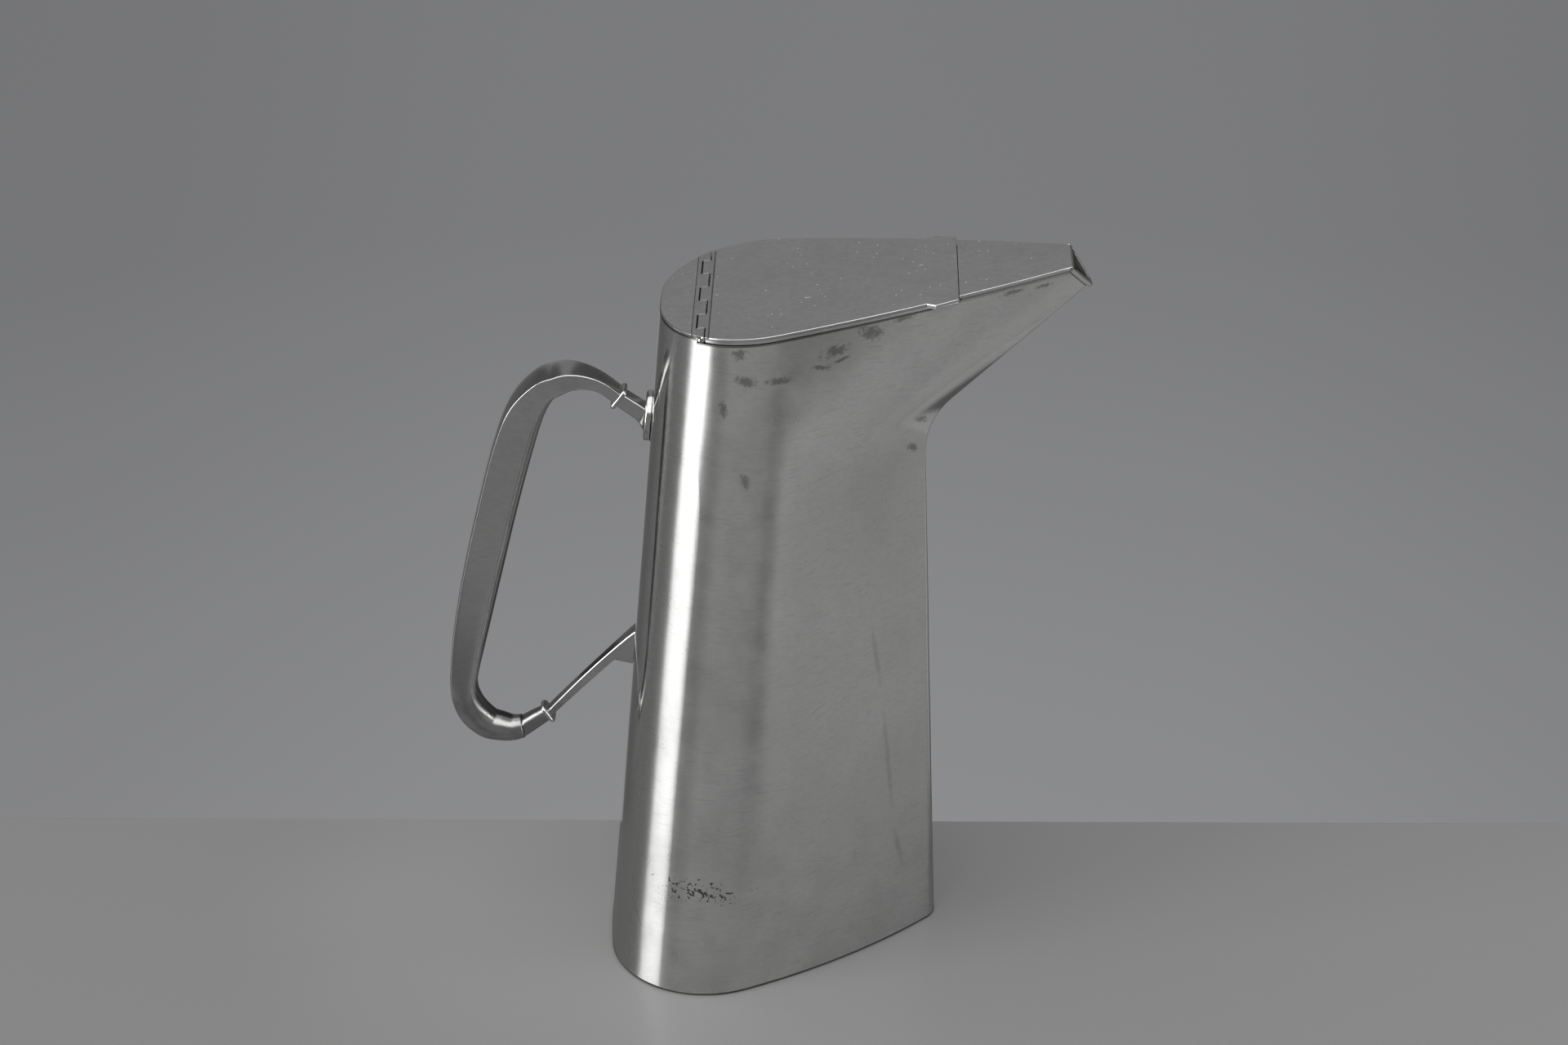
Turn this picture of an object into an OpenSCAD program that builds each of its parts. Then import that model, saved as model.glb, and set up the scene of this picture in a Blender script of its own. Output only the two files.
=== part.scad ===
// Sheet-silver jug with a flush hinged lid, a beak spout and a loop handle.
// The shell is lofted from the level base outline to the sloping top outline, both made of tangent arcs.
// X runs from the handle to the spout, y = 0 is the mirror plane, and z = 0 is the table.
// The origin is the middle of the base. Points written [x, z] lie in the mirror plane.

/* [Body] */
// Length of the base from its back to its front edge
base_length = 118; // [106:1:130]
// Width of the base at its rear corners
base_width = 111.4; // [96:0.2:118]
// Height of the top's rear edge above the table
back_height = 248.4; // [236:0.1:262]
// Lean of the back towards the spout, in degrees
back_lean = 4.9; // [3.5:0.1:6]
// Lean of the front edge towards the handle, in degrees
front_lean = 2; // [1:0.1:3]
// Width of the top at its rear corners
top_width = 76.6; // [72:0.2:84]
// Width at the top between the centres of the round rear corners
corner_spread = 8.6; // [6:0.1:20]
// Radius of the shallow curve across the back
back_radius = 270; // [180:5:400]
// Radius of the front edge at the base
front_radius = 8.8; // [4:0.1:12]
// Radius of the front edge from the throat to the mouth
keel_radius = 2; // [1.6:0.1:4]
// Bulge of the base outline's sides, as a share of their length
base_bulge_share = 0.051; // [0.035:0.001:0.07]
// Bulge of the top outline's sides, as a share of their length
top_bulge_share = 0.026; // [0.018:0.001:0.05]
// Thickness of the sheet
wall = 1; // [0.7:0.1:1.3]
// Thickness of the plate soldered under the shell
base_thick = 1; // [0.8:0.1:2]

/* [Spout] */
// Depth below the top's rear edge at which the front edge would meet the keel without its bend
throat_depth = 45.2; // [38:0.1:56]
// Slope of the keel under the spout, in degrees from level
keel_slope = 44.3; // [38:0.1:50]
// Radius of the bend at the throat
throat_radius = 29; // [18:1:40]
// Rise of the top towards the spout, in degrees from level
top_slope = 7.15; // [5:0.05:9]
// Distance along the top from the mouth to the point where the keel would meet it
mouth_setback = 19; // [14:0.1:24]
// Lean of the mouth from upright, in degrees
mouth_lean = 36.8; // [30:0.1:42]
// Width of the band round the mouth, measured along the spout
lip_width = 1.5; // [1:0.1:3]
// How far the band stands out from the spout's sides
lip_proud = 0.5; // [0.3:0.1:0.8]
// How far the band stands out below the keel
lip_keel_proud = 1.2; // [0.8:0.1:2]

/* [Top plates and lid] */
// Thickness of the rear plate, the lid's plate and the spout's cover
plate_thick = 1.1; // [0.8:0.1:1.4]
// Width of the rim wire under the lid's plate
rim_width = 2; // [1.4:0.1:3]
// Gap between the lid's rim and the shell's edge
rim_gap = 0.25; // [0.15:0.05:0.3]
// Length of the spout's cover along the top, from the lid to the mouth
cover_length = 38; // [30:0.1:46]
// How far the spout's cover lies inside the shell's outline
cover_inset = 0.35; // [0.1:0.05:0.6]
// Gap between the lid and the spout's cover
cover_gap = 0.4; // [0.3:0.05:0.6]
// Length of each thumb tab's straight edge
ear_length = 7.6; // [6:0.1:12]
// Length of each thumb tab's slanted rear edge
ear_slant = 2.9; // [1:0.1:4]
// How far each thumb tab stands out from the lid
ear_proud = 2.6; // [1.5:0.1:4]
// Depth of each thumb tab below the lid's plate, as a share of the rim's depth
ear_step_share = 0.53; // [0.1:0.01:0.8]

/* [Hinge] */
// Distance along the top from the rear edge to the hinge axis
hinge_setback = 14.7; // [13:0.1:18]
// Radius of the knuckle tubes
knuckle_radius = 1.4; // [1.3:0.05:1.5]
// Depth of the hinge axis below the top
hinge_depth = 0.9; // [0.8:0.05:1]
// Length of each outer knuckle with its gap
end_knuckle_length = 7.1; // [4:0.1:10]
// Gap between neighbouring knuckles
knuckle_gap = 0.16; // [0.1:0.02:0.3]
// Gap between a knuckle and the leaf that it passes
leaf_gap = 0.15; // [0.1:0.05:0.3]
// Distance from the hinge axis to the rear leaf's far edge
fixed_leaf_reach = 3; // [2.1:0.05:3.5]
// Distance from the hinge axis to the lid leaf's far edge
lid_leaf_reach = 2.6; // [2.1:0.05:3.5]
// Width of the groove where the lid leaf meets the lid's plate
groove_width = 0.22; // [0.1:0.02:0.4]
// Depth of that groove
groove_depth = 0.6; // [0.3:0.1:0.7]
// Radius of the hinge pin
pin_radius = 0.5; // [0.4:0.05:0.6]
// Radial clearance between the pin and the lid's knuckles
pin_clearance = 0.05; // [0.02:0.01:0.08]
// How far each end of the pin is sunk below the hinge's end
pin_recess = 1.6; // [0.8:0.1:3]

/* [Handle] */
// Depth of the upper disc's centre below the top's rear edge
upper_mount_depth = 44.5; // [36:0.1:54]
// Radius of the upper disc
disc_radius = 9; // [7:0.1:11]
// Thickness of the upper disc
disc_thick = 2.3; // [1.5:0.1:4]
// How far the upper stub's axis lies above the disc's centre
stub_rise = 0.7; // [0:0.1:1.5]
// Slope of the upper stub, in degrees from level
stub_slope = 36.3; // [30:0.1:40]
// Length of the upper stub between the disc and the collar, along its axis
stub_length = 10.1; // [7:0.1:14]
// Height of the upper stub at the disc
stub_root = 5.5; // [5:0.1:8]
// Height of the upper stub at the collar
stub_tip = 5; // [4:0.1:6]
// Width of the upper stub
stub_width = 6.4; // [4.5:0.1:7]
// Height of the upper collar, across its axis
collar_height = 8.2; // [7.6:0.1:9]
// Width of the upper collar
collar_width = 8.2; // [7.8:0.1:9]
// Corner radius of the upper collar
collar_round = 1.3; // [0.6:0.1:3]
// Size of the lower collar, as a share of the upper collar's
lower_collar_share = 0.94; // [0.9:0.01:1.1]
// Corner radius of the lower collar
lower_collar_round = 2.4; // [1:0.1:3.2]
// Thickness of both collars
collar_thick = 1.5; // [1:0.1:2.5]
// Depth of the lower bracket's top edge below the upper disc's centre
lower_mount_drop = 84.2; // [76:0.1:92]
// Height of the bracket's foot against the back
foot_height = 13.7; // [10:0.2:18]
// Length of the foot's lower edge
foot_length = 6.4; // [4:0.1:9]
// Rise of the foot's lower edge towards the handle
foot_rise = 1.1; // [0:0.1:2]
// Slope of the bracket's strap, in degrees from level
strap_slope = 47; // [42:0.5:52]
// Length of the strap's top edge
strap_length = 47.2; // [40:0.1:50]
// Thickness of the strap at the collar
strap_tip = 2.5; // [1.6:0.1:3]
// Arch of the strap's top edge
strap_arch = 0.5; // [0.1:0.1:1]
// Width of the strap at the back
strap_width = 6.6; // [5:0.1:8]
// Width of the strap at its waist
strap_waist = 4.6; // [3:0.1:6]
// Width of the strap where it enters the collar
strap_tip_width = 5.4; // [3.6:0.1:6]
// Slope of the lower collar's axis, in degrees from level
neck_slope = 35; // [32:1:42]
// Length of the neck between the lower collar and the grip
neck_length = 10.3; // [7:0.1:12]
// Slope of the joint between the neck and the grip, in degrees from upright
joint_slope = 10; // [0:1:34]
// Size of the neck across its flats at the collar
neck_tip = 5.2; // [4:0.1:6.5]
// Size of the neck across its flats at the grip
neck_root = 6.9; // [5.5:0.1:7.2]
// Size of the neck's bevelled edges, as a share of its size
neck_bevel_share = 0.22; // [0.1:0.01:0.29]
// How far the middle of the grip stands out from the line between its ends
grip_reach = 29.4; // [26:0.1:36]
// Greatest depth of the grip
grip_depth = 13.5; // [10:0.1:16]
// Greatest width of the grip
grip_width = 14; // [10:0.1:16]
// Swell of the grip's outer face
grip_crown = 0.8; // [0.2:0.05:1.2]

/* [Hidden] */

// Steps of the curves
round_steps = 64;
back_steps = 4;
corner_steps = 12;
side_steps = 12;
front_steps = 6;
body_rings = 8;
throat_rings = 8;
spout_rings = 5;
grip_steps = 4;
face_steps = 4;
flank_steps = 3;
inner_steps = 10;
strap_steps = 16;

// Overrun of every cut, and the size of the blocks that cut a plane
over = 5;
block = 2 * (base_length + back_height);

// The back's outline edge and the front edge below the throat, both as x for a height
function back_x(z) = z * tan(back_lean) - base_length / 2;
function edge_x(z) = base_length / 2 - z * tan(front_lean);

// The bend at the throat is an arc that touches the front edge and the keel
throat_height = back_height - throat_depth;
throat_x = edge_x(throat_height);
bend_length = throat_radius * tan((90 + front_lean - keel_slope) / 2);
bend_low = throat_height - bend_length * cos(front_lean);
bend_high = throat_height + bend_length * sin(keel_slope);
bend_x = edge_x(bend_low) + throat_radius * cos(front_lean);
bend_z = bend_low + throat_radius * sin(front_lean);

function front_x(z) =
    z < bend_low ? edge_x(z)
    : z < bend_high ? bend_x - sqrt(pow(throat_radius, 2) - pow(z - bend_z, 2))
    : throat_x + (z - throat_height) / tan(keel_slope);

function front_slope(z) =
    z < bend_low ? 90 + front_lean
    : z < bend_high ? 90 - asin((z - bend_z) / throat_radius)
    : keel_slope;

// The tip is where the sloping top would meet the keel beyond the mouth
top_x = back_x(back_height);
tip_x = (back_height - throat_height - top_x * tan(top_slope) + throat_x * tan(keel_slope))
    / (tan(keel_slope) - tan(top_slope));
tip_z = back_height + (tip_x - top_x) * tan(top_slope);

// Layout along the top, from its rear edge to the mouth, and the mouth's highest point
top_length = (tip_x - top_x) / cos(top_slope) - mouth_setback;
lid_front = top_length - cover_length;
lid_depth = hinge_depth + knuckle_radius;
ear_thick = mix(plate_thick, lid_depth - rim_gap, ear_step_share);
mouth_x = top_x + top_length * cos(top_slope);
mouth_z = back_height + top_length * sin(top_slope);

// How far the slanted edge of each thumb tab runs on inside the lid, as a share of its length
ear_root_share = 1.6;

// Shares of the way from the base to the top at which the shell's rings lie
bend_low_share = bend_low / tip_z;
bend_high_share = bend_high / tip_z;
over_share = over / back_height;
corner_radius = (top_width - corner_spread) / 2;

function mix(a, b, share) = a + (b - a) * share;
function reversed(list) = [for (i = [len(list) - 1 : -1 : 0]) list[i]];
function steps(from, to, count) = [for (i = [0 : count - 1]) mix(from, to, i / count)];

spout_shares = concat(steps(bend_high_share, 1, spout_rings), [1]);
body_shares = concat(
    steps(0, bend_low_share, body_rings),
    steps(bend_low_share, bend_high_share, throat_rings),
    spout_shares
);
inner_shares = concat([-over_share], body_shares, [1 + over_share]);
lip_shares = concat(spout_shares, [1 + over_share]);

function arc(centre, radius, from, to, count) =
    [for (a = steps(from, to, count)) centre + radius * [cos(a), sin(a)]];

// Half an outline, from the middle of the back round to the front tip, as four tangent arcs:
// back, rear corner, side and front edge. The side's bulge sets its radius.
// inset moves the outline inwards, and shift moves the front edge further in.
function half_outline(length, half_width, bulge_share, front_r, inset, shift) =
    let (
        corner_y = half_width - corner_radius,
        corner_x = back_radius - sqrt(pow(back_radius - corner_radius, 2) - pow(corner_y, 2)),
        corner = [corner_x, corner_y],
        side_r = norm([length - corner_x, half_width]) / (8 * bulge_share),
        front = [length - front_r - shift, 0],
        far = front - corner,
        unit = far / norm(far),
        along = (pow(side_r - corner_radius, 2) - pow(side_r - front_r, 2) + pow(norm(far), 2))
            / (2 * norm(far)),
        across = sqrt(pow(side_r - corner_radius, 2) - pow(along, 2)),
        side = corner + along * unit + across * [unit[1], -unit[0]],
        back_turn = atan2(corner_y, corner_x - back_radius),
        side_turn = atan2(corner[1] - side[1], corner[0] - side[0]),
        front_turn = atan2(front[1] - side[1], front[0] - side[0])
    )
    concat(
        arc([back_radius, 0], back_radius - inset, 180, back_turn, back_steps),
        arc(corner, corner_radius - inset, back_turn, side_turn, corner_steps),
        arc(side, side_r - inset, side_turn, front_turn, side_steps),
        arc(front, front_r - inset, front_turn, 0, front_steps),
        [[front[0] + front_r - inset, 0]]
    );

function whole_outline(half) =
    concat(half, [for (i = [len(half) - 2 : -1 : 1]) [half[i][0], -half[i][1]]]);

// A ring of the shell lies in a plane that passes through the back's edge and the front edge,
// and tilts a little more with every ring up to the slope of the top.
function ring_back(share) = [back_x(share * back_height), share * back_height];
function ring_front(share) = [front_x(share * tip_z), share * tip_z];
function ring_tilt(share) =
    let (run = ring_front(share) - ring_back(share))
    atan2(run[1], run[0]);

function ring_outline(share, inset, front_extra) =
    let (
        run = ring_front(share) - ring_back(share),
        lean = 1 / sin(front_slope(share * tip_z) - ring_tilt(share)),
        edge_share = min(max(share / bend_low_share, 0), 1)
    )
    whole_outline(half_outline(
        norm(run),
        mix(base_width, top_width, share) / 2,
        mix(base_bulge_share, top_bulge_share, share),
        mix(front_radius, keel_radius, edge_share),
        inset,
        inset * (lean - 1) - front_extra * lean
    ));

function ring(share, inset, front_extra) =
    let (start = ring_back(share), tilt = ring_tilt(share))
    [for (p = ring_outline(share, inset, front_extra))
        [start[0] + p[0] * cos(tilt), p[1], start[1] + p[0] * sin(tilt)]];

// A closed solid through a list of rings that all have the same number of points
module skin(rings) {
    count = len(rings[0]);
    last = len(rings) - 1;
    polyhedron(
        points = [for (r = rings) each r],
        faces = concat(
            [[for (i = [0 : count - 1]) count - 1 - i]],
            [[for (i = [0 : count - 1]) last * count + i]],
            [for (k = [0 : last - 1], i = [0 : count - 1])
                let (j = (i + 1) % count)
                [k * count + i, k * count + j, (k + 1) * count + j]],
            [for (k = [0 : last - 1], i = [0 : count - 1])
                let (j = (i + 1) % count)
                [k * count + i, (k + 1) * count + j, (k + 1) * count + i]]
        )
    );
}

module loft(shares, inset = 0, front_extra = 0) {
    skin([for (s = shares) ring(s, inset, front_extra)]);
}

// Places children in the top's own frame: x along the top from its rear edge, z = 0 on the top
module on_top() {
    translate([top_x, 0, back_height])
        rotate([0, -top_slope, 0])
            children();
}

// Everything between two distances along the top, from a depth below it upwards
module above(from, to, depth) {
    translate([from, -base_width, -depth])
        cube([to - from, 2 * base_width, over + depth]);
}

// The top's outline as a plate between two depths below the top
module outline_plate(top_depth, low_depth, inset = 0) {
    translate([0, 0, -low_depth])
        linear_extrude(height = low_depth - top_depth)
            polygon(ring_outline(1, inset, 0));
}

module past_mouth() {
    translate([mouth_x, 0, mouth_z])
        rotate([0, -mouth_lean, 0])
            children();
}

module mouth_cut() {
    past_mouth()
        translate([0, -block, -block])
            cube([block, 2 * block, 2 * block]);
}

function half_width_at(along) =
    let (half = half_outline(
        norm(ring_front(1) - ring_back(1)), top_width / 2, top_bulge_share, keel_radius, 0, 0))
    max([for (i = [1 : len(half) - 1])
        half[i - 1][0] <= along && half[i][0] >= along
            ? mix(half[i - 1][1], half[i][1], (along - half[i - 1][0]) / (half[i][0] - half[i - 1][0]))
            : 0]);

// Hinge layout along y: seven knuckles from end to end, the outer ones trimmed to the outline
hinge_end = half_width_at(hinge_setback + knuckle_radius);
step_at = hinge_setback - knuckle_radius;
notch = knuckle_radius + leaf_gap;
inner_end = hinge_end - end_knuckle_length;
knuckle_pitch = inner_end / 2.5;
pin_half = half_width_at(step_at) - pin_recess;
fixed_spans = [
    [-hinge_end - over, -inner_end],
    [-1.5 * knuckle_pitch, -knuckle_pitch / 2],
    [knuckle_pitch / 2, 1.5 * knuckle_pitch],
    [inner_end, hinge_end + over]
];
lid_spans = [
    [-inner_end, -1.5 * knuckle_pitch],
    [-knuckle_pitch / 2, knuckle_pitch / 2],
    [1.5 * knuckle_pitch, inner_end]
];

// Handle frame, as [x, z] points of the mirror plane
function spot(p) = [p[0], 0, p[1]];
function way(slope) = [cos(slope), sin(slope)];
back_out = way(180 - back_lean);
upper_mount_height = back_height - upper_mount_depth;
lower_mount_height = upper_mount_height - lower_mount_drop;
disc_centre = [back_x(upper_mount_height), upper_mount_height];
stub_way = way(180 - stub_slope);
stub_start = disc_centre + disc_thick * back_out + [0, stub_rise];
upper_collar_centre = stub_start + (stub_length + collar_thick / 2) * stub_way;
grip_top = upper_collar_centre + collar_thick / 2 * stub_way;

strap_way = way(180 + strap_slope);
strap_under = way(strap_slope - 90);
strap_top = [back_x(lower_mount_height), lower_mount_height];
strap_end = strap_top + strap_length * strap_way;
foot_low = [back_x(lower_mount_height - foot_height), lower_mount_height - foot_height];
foot_corner = foot_low + [-foot_length, foot_rise];
neck_way = way(180 + neck_slope);
lower_collar_centre = strap_end + strap_tip / 2 * strap_under + collar_thick / 2 * neck_way;
grip_bottom = lower_collar_centre + (collar_thick / 2 + neck_length) * neck_way;

// The grip's middle line, from its lower to its upper end. Each row gives the share of the way up,
// the share of the reach, the shares of the depth and the width, and how round the section is.
grip_shares = [
    [0.000, 0.000, 0.63, 0.61, 1.00],
    [-0.013, 0.136, 0.71, 0.73, 1.00],
    [-0.016, 0.284, 0.79, 0.82, 1.00],
    [-0.014, 0.441, 0.84, 0.86, 1.00],
    [0.012, 0.634, 0.83, 0.86, 0.80],
    [0.049, 0.764, 0.74, 0.87, 0.50],
    [0.086, 0.829, 0.69, 0.89, 0.20],
    [0.129, 0.865, 0.72, 0.91, 0.05],
    [0.258, 0.920, 0.88, 0.96, 0.00],
    [0.435, 0.966, 0.97, 0.97, 0.00],
    [0.631, 0.995, 0.99, 0.97, 0.00],
    [0.792, 1.000, 1.00, 0.98, 0.00],
    [0.896, 0.966, 0.93, 0.99, 0.00],
    [0.968, 0.849, 0.73, 1.00, 0.00],
    [0.998, 0.709, 0.63, 0.98, 0.00],
    [1.014, 0.590, 0.57, 0.89, 0.00],
    [1.022, 0.415, 0.46, 0.74, 0.00],
    [1.019, 0.221, 0.36, 0.62, 0.00],
    [1.000, 0.000, 0.34, 0.57, 0.00]
];
flank_share = 0.72;

grip_run = grip_top - grip_bottom;
grip_side = [-grip_run[1], grip_run[0]] / norm(grip_run);
grip_rows = [for (g = grip_shares) [
    grip_bottom[0] + g[0] * grip_run[0] + g[1] * grip_reach * grip_side[0],
    grip_bottom[1] + g[0] * grip_run[1] + g[1] * grip_reach * grip_side[1],
    g[2] * grip_depth,
    g[3] * grip_width,
    g[4]
]];

// A smooth curve through rows of numbers, the same way in every column
function through(a, b, c, d, t) =
    0.5 * (2 * b + (c - a) * t + (2 * a - 5 * b + 4 * c - d) * t * t
        + (3 * b - a - 3 * c + d) * t * t * t);
function before_first(rows) = 2 * rows[0] - rows[1];
function after_last(rows) = 2 * rows[len(rows) - 1] - rows[len(rows) - 2];
function smooth_rows(rows, count) =
    let (r = concat([before_first(rows)], rows, [after_last(rows)]))
    concat(
        [for (k = [1 : len(rows) - 1], t = steps(0, 1, count))
            through(r[k - 1], r[k], r[k + 1], r[k + 2], t)],
        [rows[len(rows) - 1]]
    );

// The grip's section as [depth, width] shares of one: a crowned outer face, flat flanks, a round inner face
function face_points(crown) =
    [for (w = steps(0.5, -0.5, face_steps)) [0.5 + crown * (1 - 4 * w * w), w]];
function flank_points(from, to, side) =
    [for (d = steps(from, to, flank_steps)) [d, side / 2]];
function inner_points(shoulder) =
    [for (a = steps(-90, 90, inner_steps)) [shoulder - (0.5 + shoulder) * cos(a), sin(a) / 2]];
function grip_section(crown) =
    let (shoulder = 0.5 - flank_share)
    concat(
        face_points(crown),
        flank_points(0.5, shoulder, -1),
        inner_points(shoulder),
        flank_points(shoulder, 0.5, 1)
    );
function rounded(p) = p / norm(p) / 2;

grip_line = smooth_rows(grip_rows, grip_steps);
function line_way(rows, i) =
    let (
        a = rows[max(i - 1, 0)],
        b = rows[min(i + 1, len(rows) - 1)]
    )
    atan2(b[1] - a[1], b[0] - a[0]);
function grip_turn(i) =
    i == 0 ? 180 + joint_slope
    : i == len(grip_line) - 1 ? -stub_slope
    : line_way(grip_line, i);
function grip_ring(i) =
    let (row = grip_line[i], out = way(grip_turn(i) + 90))
    [for (s = grip_section(grip_crown / grip_depth))
        let (q = mix(s, rounded(s), row[4]), d = q[0] * row[2])
        [row[0] + d * out[0], q[1] * row[3], row[1] + d * out[1]]];

// Body parts

module body_shell() {
    color("silver") difference() {
        loft(body_shares);
        loft(inner_shares, wall);
        translate([-block / 2, -block / 2, -block])
            cube([block, block, block + base_thick]);
        on_top() {
            above(-over, block, plate_thick);
            above(step_at, lid_front + cover_gap / 2, lid_depth);
        }
        mouth_cut();
    }
}

module base_plate() {
    color("lightgray")
        translate([back_x(0), 0, 0])
            linear_extrude(height = base_thick)
                polygon(ring_outline(0, 0, 0));
}

module rear_plate() {
    color("gainsboro") on_top() intersection() {
        outline_plate(0, plate_thick);
        above(-over, hinge_setback - fixed_leaf_reach, lid_depth);
    }
}

module spout_cover() {
    color("gainsboro") difference() {
        on_top() intersection() {
            outline_plate(0, plate_thick, cover_inset);
            above(lid_front + cover_gap, block, lid_depth);
        }
        mouth_cut();
    }
}

module spout_lip() {
    color("silver") difference() {
        intersection() {
            loft(lip_shares, -lip_proud, lip_keel_proud - lip_proud);
            past_mouth()
                translate([-lip_width, -block, -block])
                    cube([lip_width, 2 * block, 2 * block]);
        }
        loft(lip_shares);
        on_top() above(0, block, 0);
    }
}

// Hinge parts

module hinge_cylinder(radius, span) {
    translate([hinge_setback, span[0], -hinge_depth])
        rotate([-90, 0, 0])
            cylinder(h = span[1] - span[0], r = radius, $fn = round_steps);
}

module knuckle(span, bore) {
    on_top() difference() {
        intersection() {
            hinge_cylinder(knuckle_radius, span + [knuckle_gap, -knuckle_gap] / 2);
            outline_plate(0, lid_depth + over);
        }
        hinge_cylinder(bore, span + [-over, over]);
    }
}

module fixed_knuckle(i) {
    color("silver") knuckle(fixed_spans[i], pin_radius);
}

module lid_knuckle(i) {
    color("gainsboro") knuckle(lid_spans[i], pin_radius + pin_clearance);
}

// A leaf is a strip of the top along the hinge. It is cut back where the other side's knuckles turn,
// and reaches its own knuckles.
module leaf(from, to, own_spans, finger_from, finger_to) {
    on_top() difference() {
        intersection() {
            outline_plate(0, plate_thick);
            union() {
                above(from, to, lid_depth);
                for (span = own_spans)
                    translate([finger_from, span[0] + knuckle_gap / 2, -lid_depth])
                        cube([finger_to - finger_from, span[1] - span[0] - knuckle_gap, lid_depth]);
            }
        }
        hinge_cylinder(knuckle_radius, [-block, block]);
    }
}

module hinge_fixed_leaf() {
    color("gainsboro")
        leaf(hinge_setback - fixed_leaf_reach, hinge_setback - notch, fixed_spans,
            hinge_setback - notch, hinge_setback - hinge_depth);
}

module hinge_lid_leaf() {
    color("silver")
        leaf(hinge_setback + notch, hinge_setback + lid_leaf_reach, lid_spans,
            hinge_setback + hinge_depth, hinge_setback + notch);
}

module hinge_pin() {
    color("dimgray") on_top()
        hinge_cylinder(pin_radius, [-pin_half, pin_half]);
}

// Lid parts

module ear(side) {
    tab_rear = lid_front - ear_length;
    slant_rear = tab_rear - ear_slant;
    outer_rear = [tab_rear, half_width_at(tab_rear) + ear_proud];
    inner_rear = mix(outer_rear, [slant_rear, half_width_at(slant_rear)], ear_root_share);
    translate([0, 0, -ear_thick])
        linear_extrude(height = ear_thick)
            scale([1, side])
                polygon([
                    inner_rear,
                    outer_rear,
                    [lid_front, half_width_at(lid_front) + ear_proud],
                    [lid_front, half_width_at(lid_front) - 2 * rim_width]
                ]);
}

module lid_plate() {
    plate_from = hinge_setback + lid_leaf_reach;
    color("gainsboro") on_top() difference() {
        union() {
            intersection() {
                outline_plate(0, plate_thick);
                above(plate_from, lid_front, lid_depth);
            }
            for (side = [-1, 1])
                ear(side);
        }
        above(plate_from - over, plate_from + groove_width, groove_depth);
    }
}

module lid_rim() {
    color("silver") on_top() difference() {
        intersection() {
            outline_plate(plate_thick, lid_depth - rim_gap);
            above(hinge_setback + notch, lid_front, lid_depth);
        }
        intersection() {
            outline_plate(0, lid_depth + over, rim_width);
            above(0, lid_front - rim_width, 2 * lid_depth);
        }
        for (side = [-1, 1])
            ear(side);
    }
}

// Handle parts

module side_plate(width) {
    rotate([90, 0, 0])
        linear_extrude(height = width, center = true)
            children();
}

// Removes what lies on the near side of a plane through a point of the mirror plane
module behind(point, slope) {
    translate(spot(point))
        rotate([0, -slope, 0])
            translate([-block, -block / 2, -block / 2])
                cube(block);
}

module handle_upper_disc() {
    color("silver") translate(spot(disc_centre))
        rotate([0, back_lean - 90, 0])
            cylinder(h = disc_thick, r = disc_radius, $fn = round_steps);
}

module handle_upper_stub() {
    across = [stub_way[1], -stub_way[0]];
    start = stub_start - over * stub_way;
    end = stub_start + stub_length * stub_way;
    root = mix(stub_root, stub_tip, -over / stub_length);
    color("gainsboro") difference() {
        side_plate(stub_width)
            polygon([
                start + root / 2 * across,
                end + stub_tip / 2 * across,
                end - stub_tip / 2 * across,
                start - root / 2 * across
            ]);
        behind(stub_start, 180 - back_lean);
    }
}

module rounded_rectangle(height, width, radius) {
    square([height - 2 * radius, width], center = true);
    square([height, width - 2 * radius], center = true);
    for (x = [-1, 1], y = [-1, 1])
        translate([x * (height / 2 - radius), y * (width / 2 - radius)])
            circle(r = radius, $fn = round_steps);
}

module collar(centre, slope, height, width, radius) {
    translate(spot(centre))
        rotate([0, 90 - slope, 0])
            translate([0, 0, -collar_thick / 2])
                linear_extrude(height = collar_thick)
                    rounded_rectangle(height, width, radius);
}

module handle_upper_collar() {
    color("silver")
        collar(upper_collar_centre, 180 - stub_slope, collar_height, collar_width, collar_round);
}

module handle_lower_collar() {
    color("silver")
        collar(lower_collar_centre, neck_slope, lower_collar_share * collar_height,
            lower_collar_share * collar_width, lower_collar_round);
}

module handle_grip() {
    color("silver") skin([for (i = [0 : len(grip_line) - 1]) grip_ring(i)]);
}

// A thin square with bevelled edges, across a slope at a point of the mirror plane
module neck_section(point, slope, size, from) {
    bevel = neck_bevel_share * size;
    sliver = neck_length / 100;
    translate(spot(point))
        rotate([0, 90 - slope, 0])
            translate([0, 0, from * sliver])
                linear_extrude(height = sliver)
                    hull() {
                        square([size, size - 2 * bevel], center = true);
                        square([size - 2 * bevel, size], center = true);
                    }
}

module handle_neck() {
    collar_side = lower_collar_centre + collar_thick / 2 * neck_way;
    color("gainsboro") hull() {
        neck_section(collar_side, neck_slope, neck_tip, -1);
        neck_section(grip_bottom, joint_slope, neck_root, 0);
    }
}

// The strap's top edge is a shallow arc, and its sides close in to a waist.
function strap_edge(share) =
    mix(strap_top, strap_end, share) - 4 * share * (1 - share) * strap_arch * strap_under;
function strap_half(share) =
    share < 0.5 ? mix(strap_width, strap_waist, sin(180 * share)) / 2
    : mix(strap_tip_width, strap_waist, sin(180 * share)) / 2;

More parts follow.
